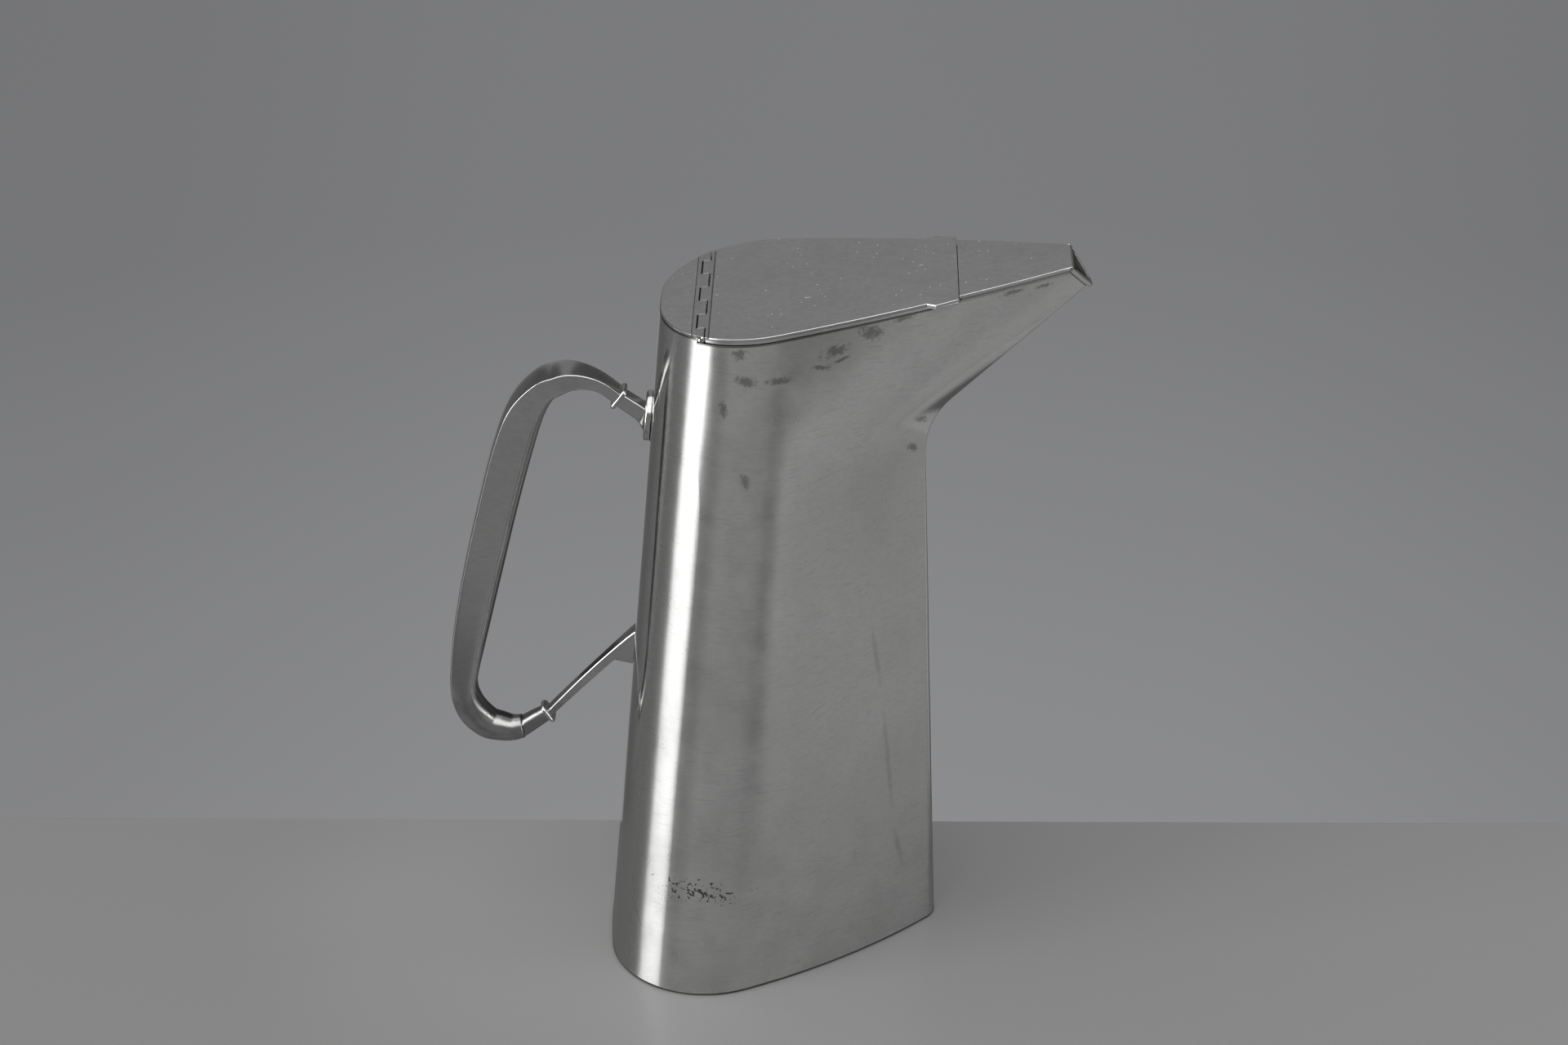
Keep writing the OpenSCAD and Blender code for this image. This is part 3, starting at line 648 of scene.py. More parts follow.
def stub():
    """A tapered bar with rounded edges and a fillet of solder at the disc."""
    slope = 180 - stub_slope
    profile = (-2.4, 1.5), (-1.2, 1.0), (-0.5, 0.62), (0.3, 0.32), (1.2, 0.1), (2.2, 0), (stub_length + 0.3, 0)
    rings = []
    for along, grow in profile:
        height = mix(stub_root, stub_tip, max(along, 0) / stub_length) + 2 * grow
        width = stub_width + 2 * grow
        p = rounded_rectangle(height, width, 0.75 + grow * 0.6)
        ring = across_plane(stub_start, slope, p[:, 0], p[:, 1], along)
        depth = (ring[:, [0, 2]] - (disc_centre + disc_thick * back_out)) @ back_out
        ring -= spot(np.minimum(depth, 0)[:, None] * back_out)
        rings.append(ring)
    return skin(rings)


def grip():
    chord = grip_top - grip_bottom
    aside = np.array([-chord[1], chord[0]])
    way_out = grip_shares[:, 1:2] * grip_reach * aside / np.linalg.norm(chord)
    line = grip_bottom + grip_shares[:, :1] * chord + way_out
    rows = smooth_rows(np.hstack([line, grip_shares[:, 2:] * [grip_depth, grip_width, 1]]), 12)
    tangent = np.gradient(rows[:, :2], axis=0)
    slopes = np.degrees(np.unwrap(np.radians(turn(tangent[:, 1], tangent[:, 0]))))
    first, last = 180 + joint_slope, -stub_slope
    first += 360 * np.round((slopes[0] - first) / 360)
    last += 360 * np.round((slopes[-1] - last) / 360)
    fade = np.clip(1 - np.arange(len(rows)) / 8, 0, 1)
    slopes = mix(slopes, first, fade)
    slopes = mix(slopes, last, fade[::-1])
    shoulder, edge_radius, end_share = 0.5 - flank, 0.45, 0.965
    rings = []
    for row, slope in zip(rows, slopes):
        depth, width, roundness = row[2], row[3], row[4]
        edge_w, edge_d = edge_radius / width, edge_radius / depth
        crown = grip_crown / depth

        def face(w):
            return 0.5 + crown * (1 - 4 * w * w)

        w = np.linspace(0.5 - edge_w, -0.5 + edge_w, 15)
        made = [np.stack([face(w), w], 1)]
        b = np.linspace(0, 1, 6)[1:-1]
        start, middle, stop = [face(-0.5 + edge_w), -0.5 + edge_w], [0.5, -0.5], [0.5 - edge_d, -0.5]
        corner = np.outer((1 - b) ** 2, start) + np.outer(2 * b * (1 - b), middle) + np.outer(b**2, stop)
        made.append(corner)
        d = np.linspace(0.5 - edge_d, shoulder, 8)
        made.append(np.stack([d, 0 * d - 0.5], 1))
        a = np.linspace(-90, 90, 26)[1:-1]
        made.append(np.stack([shoulder - (0.5 + shoulder) * cos(a), sin(a) / 2], 1))
        made.append(np.stack([d[::-1], 0 * d + 0.5], 1))
        made.append(corner[::-1] * [1, -1])
        s = np.concatenate(made)
        s = mix(s, s / np.linalg.norm(s, axis=1)[:, None] / 2, roundness)
        p = row[:2] + (s[:, 0] * depth)[:, None] * way(slope + 90)
        rings.append(spot(p, s[:, 1] * width))
    for k, end in ((0, rings[0]), (-1, rings[-1])):
        middle = end.mean(0)
        rings[k] = middle + (end - middle) * end_share
    return skin(rings)


def neck():
    rings = []
    start = lower_centre + collar_thick / 2 * neck_way
    for share in (-0.02, 0.06, 0.3, 0.6, 0.9, 0.975, 1.0):
        centre, slope = mix(start, grip_bottom, share), mix(neck_slope, joint_slope, max(share, 0))
        size = mix(neck_tip, neck_root, share) - (0.35 if share == 1 else 0)
        cut = 0.5 - neck_bevel
        quarter = np.array([[0.5, cut], [cut, 0.5]])
        outline = np.concatenate([quarter, quarter[::-1] * [-1, 1], -quarter, quarter[::-1] * [1, -1]])
        dense = []
        for i in range(8):
            a, b = outline[i], outline[(i + 1) % 8]
            dense += [mix(a, b, 0.06), mix(a, b, 0.5), mix(a, b, 0.94)]
        p = np.array(dense) * size
        rings.append(across_plane(centre, slope, p[:, 0], p[:, 1]))
    return skin(rings)


def strap_edge(share):
    share = np.asarray(share)[..., None]
    return mix(strap_top, strap_end, share) - 4 * share * (1 - share) * strap_arch * strap_under


def bracket():
    """The strap and its gusset, in upright slices from the back to the collar."""
    shares = np.linspace(0, 1, 200)
    edge = strap_edge(shares)
    half = mix(np.where(shares < 0.5, strap_width, strap_tip_width), strap_waist, sin(180 * shares)) / 2
    under = strap_end + strap_tip * strap_under
    low_x = np.array([under[0] - 3, under[0], foot_corner[0], foot_low[0]])
    low_z = np.array([under[1] - 3 * tan(strap_slope), under[1], foot_corner[1], foot_low[1]])
    xs = np.linspace(strap_end[0] - 0.6, foot_corner[0] - 1.2, 40)
    xs = np.append(xs, foot_corner[0] + np.array([-0.6, -0.25, 0, 0.25, 0.6, 1.2, 2.4, 3.6, 4.8]))
    rings = []

    def width_at(x):
        return np.interp(x, edge[::-1, 0], half[::-1])

    def ring(x_top, z_top, x_low, z_low, w):
        r, drop, low_r, inset = 0.78, 1.35, 0.4, 0.3
        z_mid = (z_top + z_low) / 2
        face_low, face_high = min(z_low + low_r + 0.3, z_mid), max(z_top - r * drop - 0.3, z_mid)
        near = [
            [x_low, -(w - low_r), z_low],
            [x_low, -(w - inset * low_r), z_low + inset * low_r],
            [x_low, -w, z_low + low_r],
            [x_low, -w, face_low],
            [x_top, -w, face_high],
            [x_top, -w, z_top - r * drop],
            [x_top, -(w - inset * r), z_top - 0.38 * r],
            [x_top, -(w - r), z_top],
        ]
        return near + [[x, -y, z] for x, y, z in near[::-1]]

    for x in xs:
        z_top = strap_end[1] + (x - strap_end[0]) * tan(strap_slope)
        if x > strap_end[0]:
            z_top = np.interp(x, edge[::-1, 0], edge[::-1, 1])
        rings.append(ring(x, z_top, x, np.interp(x, low_x, low_z), width_at(x)))
    rings.append(ring(strap_top[0] + 0.3, strap_top[1] + 0.2, foot_low[0] + 0.3, foot_low[1], width_at(strap_top[0])))
    return skin([np.array(r, float) for r in rings])


# Materials
class Nodes:
    """The nodes of a material or world, made from a few plain calls."""

    def __init__(self, owner, coordinates="Object", shader="Principled BSDF"):
        owner.use_nodes = True
        self.owner, self.tree = owner, owner.node_tree
        self.shader = self.tree.nodes[shader]
        outputs = self.add("TexCoord").outputs
        self.place, self.normal = outputs[coordinates], outputs["Normal"]

    def put(self, socket, value):
        if isinstance(value, bpy.types.NodeSocket):
            self.tree.links.new(value, socket)
        else:
            socket.default_value = value

    def add(self, kind, *values, operation=None):
        """A new node, with what its first inputs get."""
        made = self.tree.nodes.new("ShaderNode" + kind)
        if operation:
            made.operation = operation
        for socket, value in zip(made.inputs, values):
            self.put(socket, value)
        return made

    def math(self, kind, a, b=0.0):
        return self.add("Math", a, b, operation=kind).outputs["Value"]

    def times(self, a, b):
        return self.math("MULTIPLY", a, b)

    def vector(self, kind, a, b=(0, 0, 0), output="Vector"):
        return self.add("VectorMath", a, b, operation=kind).outputs[output]

    def split(self, vector):
        return self.add("SeparateXYZ", vector).outputs

    def noise(self, scale, detail=5, rough=0.55, stretch=(1, 1, 1), turned=(0, 0, 0)):
        mapping = self.add("Mapping", self.place, (0, 0, 0), np.radians(turned), stretch)
        made = self.add("TexNoise", mapping.outputs["Vector"])
        for name, value in (("Scale", scale), ("Detail", detail), ("Roughness", rough)):
            made.inputs[name].default_value = value
        return made.outputs["Fac"]

    def specks(self, scale, size):
        """Small round spots, 1 inside and 0 outside."""
        made = self.add("TexVoronoi", self.place)
        made.inputs["Scale"].default_value = scale
        return self.range(made.outputs["Distance"], size, size * 0.6)

    def range(self, value, low, high, to_low=0.0, to_high=1.0):
        made = self.add("MapRange", value, low, high, to_low, to_high)
        made.interpolation_type = "SMOOTHSTEP"
        return made.outputs["Result"]

    def marks(self, rows):
        """How far a point is from the nearest of several flat marks, 1 at a mark's edge."""
        nearest = None
        for place, half, angle in rows:
            size = np.array([half[0], MARK_REACH, half[1]]) * 0.001
            mapping = self.add("Mapping", self.place, np.array(place) * 0.001, (0, np.radians(-angle), 0), size)
            mapping.vector_type = "TEXTURE"
            far = self.vector("LENGTH", mapping.outputs["Vector"], output="Value")
            nearest = far if nearest is None else self.math("MINIMUM", nearest, far)
        return nearest

    def away(self, point):
        """Distance from a point, in metres."""
        return self.vector("DISTANCE", self.place, point, "Value")

    def distance(self, axis, offset):
        """How far a point is beyond a plane that lies across an axis, in metres."""
        along = self.vector("DOT_PRODUCT", self.place, axis[0], "Value")
        return self.math("SUBTRACT", along, 0.001 * (axis[1] + offset))

    def over(self, axis, offset):
        return self.math("GREATER_THAN", self.distance(axis, offset), 0.0)

    def mixed(self, a, b, factor, blend="MIX"):
        made = self.add("Mix")
        made.data_type, made.blend_type = "RGBA", blend
        for socket, value in ((0, factor), (6, a), (7, b)):
            self.put(made.inputs[socket], (*value, 1) if isinstance(value, tuple) else value)
        return made.outputs[2]

    def bump(self, height, distance):
        made = self.add("Bump")
        made.inputs["Strength"].default_value = 1.0
        made.inputs["Distance"].default_value = distance
        self.put(made.inputs["Height"], height)
        self.put(self.shader.inputs["Normal"], made.outputs["Normal"])

    def ramp(self, value, stops, low=-1, high=1, cool=0.0):
        """A grey that follows stops of (value, tone), with a bluish cast of the share cool."""
        share = self.add("MapRange", value, low, high)
        made = self.add("ValToRGB", share.outputs["Result"])
        elements = made.color_ramp.elements
        while len(elements) < len(stops):
            elements.new(0.5)
        for element, (at, tone) in zip(elements, stops):
            element.position = (at - low) / (high - low)
            element.color = (tone, tone * (1 + cool * 0.2), tone * (1 + cool), 1)
        return made.outputs["Color"]

    def around(self, tones):
        """The studio's tone by the azimuth of a direction or of a place on the floor."""
        parts = self.split(self.place)
        angle = self.math("ARCTAN2", parts["Y"], parts["X"])
        return self.ramp(angle, [(np.radians(a), t) for a, t in tones], -np.pi, np.pi)


# Directions along and over the top and out of the mouth, with the place of the rear edge or mouth on each
along_axis = (cos(top_slope), 0, sin(top_slope)), top_x * cos(top_slope) + back_height * sin(top_slope)
over_axis = (-sin(top_slope), 0, cos(top_slope)), back_height * cos(top_slope) - top_x * sin(top_slope)
mouth_axis = (cos(mouth_lean), 0, sin(mouth_lean)), mouth_x * cos(mouth_lean) + mouth_z * sin(mouth_lean)
loop_x, loop_low, loop_high = -0.072, 0.115, 0.195  # the middle of the handle's loop, in metres

# Tarnish on the near side: place, half length and half height in mm, turn in degrees
BLOTCHES = [
    ((-10, -38, 246.5), (2.4, 1.6), 10),
    ((-7.6, -39, 237.2), (3.6, 1.5), -6),
    ((3, -38.5, 237.3), (4.2, 1.1), 0),
    ((-15.6, -38.6, 227), (1.2, 2.6), 0),
    ((-8.3, -42, 201.4), (1.2, 2.3), 12),
    ((17, -34.5, 240.3), (2.8, 0.8), -8),
    ((21.5, -33, 246), (3.8, 1.8), 14),
    ((33, -30, 251.3), (3.6, 2.2), -20),
    ((23.5, -32.6, 242.4), (2.2, 0.6), 20),
    ((44, -27.2, 255.3), (3.2, 1.0), 12),
    ((50.5, -7.4, 207.4), (1.1, 2.7), 42),
    ((47.9, -5.6, 195.5), (1.0, 2.4), 40),
    ((79.7, -15.2, 259.2), (3.4, 0.9), 10),
    ((90, -10.5, 259.6), (2.8, 0.8), 10),
]
# Black pits scattered low on the near side
PITS = [((-25, -52, 42.4), (12, 3.4), -6), ((-18, -52.4, 41.8), (2.6, 1.3), 0)]
# Faint dark lines towards the front edge
FRONT_LINES = [
    ((36.4, -18.8, 119.4), (17, 1.2), -82.2),
    ((41, -16.8, 75.6), (29, 1.2), -85),
    ((45.1, -15, 38), (11, 1.2), -79.7),
]
SCRATCHES = [
    ((-47, -43, 24.8), (4.6, 0.22), -68),
    ((21.6, -29, 198), (13.5, 0.11), 9),
    ((15.8, -34.7, 107.4), (5.2, 0.13), 30),
    ((17.4, -33.5, 104.6), (3.6, 0.1), 22),
    ((28, -24, 205.6), (3.2, 0.12), 14),
]
MARK_REACH = 14  # how deep a mark reaches across the jug, in mm

SLOTS = {
    # base colour, roughness, amount of tarnish, dust, depth of the grain in mm
    "satin_silver": ((0.88, 0.879, 0.873), 0.30, 0.35, 0.0, 0.006),
    "plate_silver": ((0.91, 0.91, 0.915), 0.25, 0.4, 1.0, 0.006),
    "polished_silver": ((0.80, 0.80, 0.795), 0.17, 0.3, 0.0, 0.006),
    "handle_silver": ((0.79, 0.79, 0.785), 0.18, 0.6, 0.0, 0.010),
    "hinge_silver": ((0.84, 0.84, 0.842), 0.24, 0.4, 0.3, 0.008),
    # the pin is near black, a painted shade for the hole at the end of the hinge
    "hinge_pin": ((0.10, 0.10, 0.10), 0.6, 0.6, 0.0, 0.008),
}
# dark and pale tones of the dull silver, painted shade where it lines the inside and the foot
SHADED_DULL_DARK, SHADED_DULL_PALE = (0.2, 0.2, 0.19), (0.3, 0.3, 0.29)
DUST = (0.75, 0.75, 0.75)
KEEL_Y, KEEL_Z = 0.87, 0.49  # the turn of the keel's flanks, which face least to the side
made_materials = {}


def inside():
    """Dull dark grey silver. On the jug's inner side it is painted shade, on the foot's edge a tarnished seam darkened
    further as painted contact shade, and it also darkens the floor of the lid's groove.
    """
    n = Nodes(bpy.data.materials.new("mat_inside"))
    film = n.range(n.noise(80, 4, 0.6), 0.3, 0.7)
    n.put(n.shader.inputs["Base Color"], n.mixed(SHADED_DULL_DARK, SHADED_DULL_PALE, film))
    n.put(n.shader.inputs["Roughness"], n.range(film, 0.0, 1.0, 0.45, 0.6))
    n.shader.inputs["Metallic"].default_value = 1.0
    return n.owner


def satin_stains_and_shade(n):
    """Marks of the shell, and its dark lines of painted shade."""
    ragged = n.times(n.math("SUBTRACT", n.noise(700, 4, 0.65), 0.5), 3.2)
    dots = n.math("SUBTRACT", n.noise(850, 2, 0.5), n.times(n.marks(PITS), 0.13))
    front_lined = n.math("ADD", n.marks(FRONT_LINES), n.times(ragged, 0.4))
    stains_and_shade = [
        n.range(n.math("ADD", n.marks(BLOTCHES), ragged), 1.5, 0.3, 0.0, 0.58),
        n.range(dots, 0.47, 0.5, 0.0, 0.95),
        n.range(front_lined, 1.0, 0.2, 0.0, 0.2),
        n.range(n.marks(SCRATCHES), 1.1, 0.6, 0.0, 0.34),
    ]
    # painted shade: dark lines along the shell's top edge, in the gap where the plates and lid meet it, and behind the
    # mouth's band, where the band shades the shell, and a painted shade under the spout's cover
    covered = n.over(along_axis, lid_end)
    step = n.math("SUBTRACT", n.over(along_axis, step_at), covered)
    sunk = n.times(step, 0.001 * (lid_depth - plate_thick))
    edge = n.math("ADD", n.distance(over_axis, -plate_thick), sunk)
    for line in (edge, n.distance(mouth_axis, -lip_width)):
        off = n.math("ABSOLUTE", n.math("ADD", line, 0.0002))
        stains_and_shade.append(n.range(off, 0.0005, 0.0002, 0.0, 0.8))
    return stains_and_shade + [n.times(n.range(edge, -0.0020, -0.0008, 0.0, 0.42), covered)]


def silver(slot):
    if slot in made_materials:
        return made_materials[slot]
    colour, rough, tarnish, dust, grain = SLOTS[slot]
    n = Nodes(bpy.data.materials.new("mat_" + slot))
    made_materials[slot] = n.owner
    brushed = slot == "satin_silver"

    def shade(share):
        return tuple(share * c for c in colour)

    # a slightly uneven warm film, then clouds and fine mottling
    film = n.range(n.noise(24, 4, 0.5), 0.3, 0.7)
    warm = 0.905 if brushed else 0.93
    tone = n.mixed((0.93 * colour[0], 0.928 * colour[1], warm * colour[2]), colour, film)
    cloud = n.times(n.range(n.noise(75, 5, 0.62, (1, 1, 0.6)), 0.42, 0.75), 0.6)
    tone = n.mixed(tone, shade(0.86), cloud)
    mottle = n.times(n.range(n.noise(520, 3, 0.6, (0.8, 1, 2.0), (0, 14, 0)), 0.35, 0.75), 0.55)
    tone = n.mixed(tone, shade(0.84 if brushed else 0.79), mottle)
    if brushed:
        hair = n.range(n.noise(420, 2, 0.5, (0.22, 0.6, 3.2), (0, -24, 0)), 0.57, 0.70, 0.0, 0.8)
        tone = n.mixed(tone, shade(0.84), hair)

    # tarnish and, on the shell, painted shade, the darkest of what meets at a point
    stain_and_shade = n.times(n.specks(95, 0.05), n.range(n.noise(40, 2), 0.52, 0.56, 0.0, 0.45 * tarnish))
    others = satin_stains_and_shade(n) if brushed else []
    if slot in ("plate_silver", "hinge_silver"):
        seam = n.math("ABSOLUTE", n.distance(along_axis, hinge_setback - fixed_reach))
        others.append(n.range(seam, 0.00022, 0.0001, 0.0, 0.7))
    for other in others:
        stain_and_shade = n.math("MAXIMUM", stain_and_shade, other)
    tone = n.mixed(tone, (0.16 * colour[0], 0.155 * colour[1], 0.14 * colour[2]), stain_and_shade)

    wear = n.range(n.noise(90, 6, 0.65), 0.3, 0.7, rough * 0.9, rough * 1.1)
    if slot == "handle_silver":
        # painted reflection: the hollow side, towards the middle of the loop, is darkened for the dark back of the jug
        # that it reflects
        height = n.split(n.place)["Z"]
        middle = n.add("CombineXYZ", loop_x, 0, n.math("MINIMUM", n.math("MAXIMUM", height, loop_low), loop_high))
        inward = n.vector("NORMALIZE", n.vector("SUBTRACT", middle.outputs["Vector"], n.place))
        facing = n.vector("DOT_PRODUCT", n.normal, inward, "Value")
        tone = n.mixed(tone, shade(0.15), n.range(facing, 0.7, 0.86, 0.0, 0.92))
        # and the lower bend is dull and streaked with dirt, and darkened further as painted shade
        streak = n.range(n.noise(70, 3, 0.6), 0.35, 0.62, 0.35, 1.0)
        dull_and_shaded = n.times(n.range(height, 0.100, 0.088, 0.0, 0.62), streak)
        tone = n.mixed(tone, shade(0.25), dull_and_shaded)
        wear = n.math("ADD", wear, n.times(dull_and_shaded, 0.3))
    if dust:
        specks = n.times(n.specks(300, 0.1), n.range(n.noise(60, 2), 0.44, 0.5))
        streaks = n.range(n.noise(300, 2, 0.5, (0.35, 2.4, 1), (0, 0, 12)), 0.745, 0.77)
        powder = n.times(n.math("MAXIMUM", specks, streaks), dust * 0.6)
        tone = n.mixed(tone, DUST, powder)
        n.put(n.shader.inputs["Metallic"], n.math("SUBTRACT", 1.0, powder))
    else:
        n.shader.inputs["Metallic"].default_value = 1.0
    if brushed:
        # the keel and the middle of the back are worn bright
        turned = n.split(n.normal)
        side_on = n.math("ADD", n.times(n.math("ABSOLUTE", turned["Y"]), KEEL_Y), n.times(turned["Z"], KEEL_Z))
        wear = n.times(wear, n.range(side_on, 0.46, 0.6, 0.25, 1.0))
        n.shader.inputs["Anisotropic"].default_value = 1.0
        n.shader.inputs["Anisotropic Rotation"].default_value = 0.25
        tangent = n.add("Tangent")
        tangent.direction_type, tangent.axis = "RADIAL", "Z"
        n.put(n.shader.inputs["Tangent"], tangent.outputs["Tangent"])
    n.put(n.shader.inputs["Base Color"], tone)
    n.put(n.shader.inputs["Roughness"], wear)
    fine = n.noise(900, 3, 0.6, (1, 1, 5) if brushed else (0.5, 3, 1))
    n.bump(n.math("ADD", fine, n.noise(160, 3, 0.5)), grain * 0.001)
    return n.owner


# Pieces
def build(name, shape, body, slot, node, sharp=24):
    """A piece of a shape in millimetres that stands for a CAD node, with edges sharp beyond an angle."""
    points, faces = shape
    piece = add_mesh(name, points * 0.001, faces)
    mesh = piece.data
    mesh.polygons.foreach_set("use_smooth", [True] * len(mesh.polygons))
    mesh.set_sharp_from_angle(angle=np.radians(sharp))
    mesh.materials.append(silver(slot))
    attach(piece, body)
    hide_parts(node)
    return piece


dull_and_shaded_silver = inside()
body = build("shell", shell(), "jug", "satin_silver", "body_shell")
body.data.materials.append(dull_and_shaded_silver)
# the inner faces take the dull dark silver, a painted shade of the jug's inside
for face in body.data.polygons:
    x, y, z = face.center
    middle = mix(back_x(z * 1000), float(front_x(z * 1000)), 0.5) * 0.001
    if face.normal.x * (x - middle) + face.normal.y * y * 3 < 0:
        face.material_index = 1
foot = build("base", base(), "jug", "satin_silver", "base_plate")
# the foot's edge takes it too: a real tarnished seam, made darker as painted contact shade
foot.data.materials[0] = dull_and_shaded_silver
build("rear_top_plate", rear_plate(), "jug", "plate_silver", "rear_plate", 12)
build("spout_top_plate", spout_cover(), "jug", "plate_silver", "spout_cover", 12)
build("mouth_band", lip(), "jug", "polished_silver", "spout_lip", 50)
for owner, kind, spans, bore in (
    ("jug", "fixed", fixed_spans, pin_radius),
    ("lid", "lid", lid_spans, pin_radius + pin_clearance),
):
    shown = "body" if owner == "jug" else "lid"
    for i, span in enumerate(reversed(spans)):
        build(f"{shown}_knuckle_{i + 1}", knuckle(span, bore), owner, "hinge_silver", f"hinge_{kind}_knuckle_{i + 1}")
notch, finger = knuckle_radius + leaf_gap, np.sqrt(knuckle_radius**2 - hinge_depth**2)
fixed_leaf = leaf(hinge_setback - fixed_reach, hinge_setback - notch, hinge_setback - finger, fixed_spans)
build("body_leaf", fixed_leaf, "jug", "hinge_silver", "hinge_fixed_leaf", 12)
moving_leaf = leaf(hinge_setback + lid_reach, hinge_setback + notch, hinge_setback + finger, lid_spans)
build("lid_leaf", moving_leaf, "lid", "hinge_silver", "hinge_lid_leaf", 12)
lid_top = build("lid_top", lid_plate(), "lid", "plate_silver", "lid_plate", 12)
lid_top.data.materials.append(dull_and_shaded_silver)
# the floor of the groove across the lid takes the dull dark silver
for face in lid_top.data.polygons:
    deep = Vector(over_axis[0]).dot(face.center) * 1000 - over_axis[1]
    if abs(deep + groove_depth) < 0.01 and face.normal.z > 0.5:
        face.material_index = 1
build("lid_wire", lid_rim(), "lid", "satin_silver", "lid_rim")
build("handle_disc", disc(), "jug", "polished_silver", "handle_upper_disc", 40)
build("handle_stub", stub(), "jug", "handle_silver", "handle_upper_stub", 40)
for level, centre, slope, scale, corner, soft in (
    ("upper", upper_centre, 180 - stub_slope, 1, collar_round, 0.4),
    ("lower", lower_centre, neck_slope, lower_collar, lower_collar_round, 0.5),
):
    shape = collar(centre, slope, scale * collar_height, scale * collar_width, corner, soft)
    build(f"{level}_collar", shape, "jug", "polished_silver", f"handle_{level}_collar", 40)
build("grip", grip(), "jug", "handle_silver", "handle_grip", 80)
build("grip_neck", neck(), "jug", "handle_silver", "handle_neck", 50)
build("bracket", bracket(), "jug", "handle_silver", "handle_lower_bracket", 55)
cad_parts["hinge_pin"].data.materials.clear()
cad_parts["hinge_pin"].data.materials.append(silver("hinge_pin"))

# Camera, at the photograph's viewing angle
camera = bpy.data.objects.new("camera", bpy.data.cameras.new("camera"))
bpy.context.scene.collection.objects.link(camera)
camera.location = (0.0282988, -1.1195055, 0.7933077)
camera.rotation_euler = (np.radians(60.6), 0, np.radians(1.2553))
camera.data.lens, camera.data.sensor_width = 84.987, 36
camera.data.clip_start, camera.data.clip_end = 0.01, 50
bpy.context.scene.camera = camera

# The floor's tone to the camera, and to everything else the darker tone on the floor next to the jug, a painted shade
# of the jug's contact shadow
FLOOR, SHADED_NEAR_FLOOR = 0.29, 0.175
# Tone of the dim studio that the jug reflects, by direction in degrees, 0 along the spout and 90 behind,
# on the floor near it and farther off
ROOM = [
    (-180, 0.17), (-146, 0.17), (-141, 0.10), (-129, 0.10), (-119, 0.2), (-98, 0.2), (-84, 0.205), (-73, 0.16),
    (-64, 0.085), (-57, 0.11), (-46, 0.285), (-38, 0.30), (-20, 0.315), (12, 0.315), (43, 0.30), (50, 0.02),
    (84, 0.02), (92, 0.30), (132, 0.30), (143, 0.15), (154, 0.12), (168, 0.16), (180, 0.17),
]
SKY = [
    (-180, 0.16), (-146, 0.17), (-141, 0.11), (-129, 0.11), (-119, 0.2), (-98, 0.2), (-73, 0.18),
    (-64, 0.13), (-57, 0.14), (-46, 0.28), (12, 0.31), (42, 0.25), (52, 0.08), (84, 0.10),
    (90, 0.27), (104, 0.27), (112, 0.11), (130, 0.10), (150, 0.14), (180, 0.16),
]

# Floor: a pale slab whose back edge passes just behind the jug, in metres
thick, soft = 0.003, 0.0006
left, right, front = -1.7, 1.7, -1.6
back, back_slope = 0.0563, 0.0153
edge = np.array(
    [[left, back + back_slope * left], [left, front], [right, front], [right, back + back_slope * right]]
)
rings = [
    np.concatenate([shrink(edge, inset), np.full((4, 1), z)], 1)
    for inset, z in ((0, -thick), (0, -soft), (0.3 * soft, -0.3 * soft), (soft, 0))
]
piece = add_mesh("table", *skin(rings))
n = Nodes(bpy.data.materials.new("mat_table"))
grain = n.range(n.noise(1500, 3, 0.6), 0.25, 0.75, 0.985, 1.015)
# painted light: the table grows lighter towards the right
level = n.range(n.split(n.place)["X"], -0.5, 0.5, 0.97 * FLOOR, 1.2 * FLOOR)
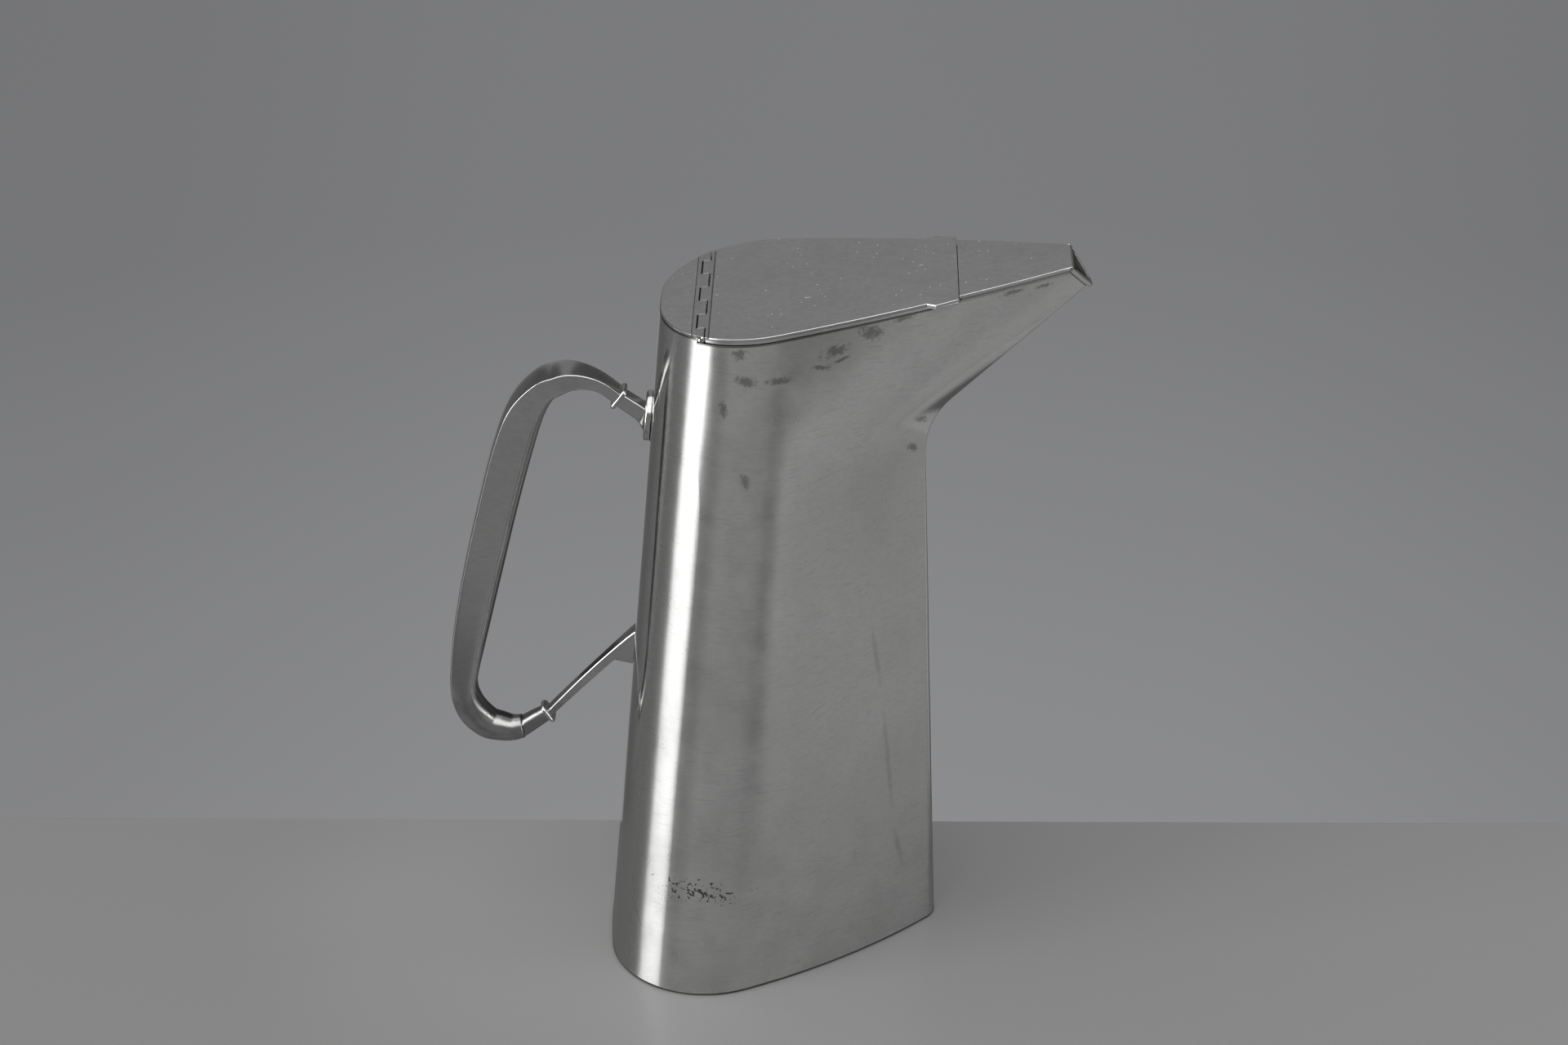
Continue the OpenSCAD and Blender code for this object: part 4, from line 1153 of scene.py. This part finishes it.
# painted light that the jug throws back on the table beside it
thrown = n.range(n.away((-0.085, 0, 0)), 0.13, 0.03, 1.0, 1.16)
level = n.times(n.times(level, grain), thrown)
pale = n.add("CombineColor", level, level, level).outputs[0]
centre = n.away((0, 0, 0))
room = n.mixed((SHADED_NEAR_FLOOR,) * 3, n.around(ROOM), n.range(centre, 0.09, 0.17))
room = n.mixed(room, n.around(SKY), n.range(centre, 0.36, 0.5))
seen = n.add("LightPath").outputs["Is Camera Ray"]
n.put(n.shader.inputs["Base Color"], n.mixed(room, pale, seen))
n.shader.inputs["Roughness"].default_value = 0.36
piece.data.materials.append(n.owner)

# Soft boxes: name, place, what it points at, width and height in metres, and the radiance that its face shows
for name, place, aim, width, height, radiance in (
    ("key", (-1.53, -0.66, 0.72), (0, 0, 0.55), 0.74, 1.4, 3.9),
    ("over", (0.1, -0.75, 2.1), (0.1, -0.75, 0), 4.0, 3.3, 1.2),
):
    light = bpy.data.lights.new(name, "AREA")
    light.shape, light.size, light.size_y = "RECTANGLE", width, height
    light.energy = radiance * width * height * np.pi
    lamp = bpy.data.objects.new(name, light)
    bpy.context.scene.collection.objects.link(lamp)
    lamp.visible_camera = False
    lamp.location = place
    lamp.rotation_euler = (Vector(aim) - Vector(place)).to_track_quat("-Z", "Y").to_euler()

# Backdrop: to the camera a grey wall that grows lighter downwards and falls off to the sides, to everything
# else the dim studio, which is darker overhead
WALL = [
    (-1, 0.25), (-0.56, 0.266), (-0.512, 0.248), (-0.46, 0.222), (-0.42, 0.2), (-0.36, 0.198), (0, 0.185), (1, 0.2),
]
FALL = [(-0.6, 0.75), (-0.2, 0.9), (-0.1, 0.98), (0, 1), (0.1, 0.98), (0.2, 0.9), (0.6, 0.75)]
OVERHEAD = [(-1, 1), (-0.1, 1), (0.25, 0.74), (1, 0.74)]
bpy.context.scene.world = bpy.data.worlds.new("studio")
n = Nodes(bpy.context.scene.world, "Generated", "Background")
parts = n.split(n.place)
wall = n.mixed(n.ramp(parts["Z"], WALL, cool=0.028), n.ramp(parts["X"], FALL), 1.0, "MULTIPLY")
room = n.mixed(n.around(SKY), n.ramp(parts["Z"], OVERHEAD), 1.0, "MULTIPLY")
seen = n.add("LightPath").outputs["Is Camera Ray"]
n.put(n.shader.inputs["Color"], n.mixed(room, wall, seen))

bpy.context.scene.view_settings.view_transform = "Standard"
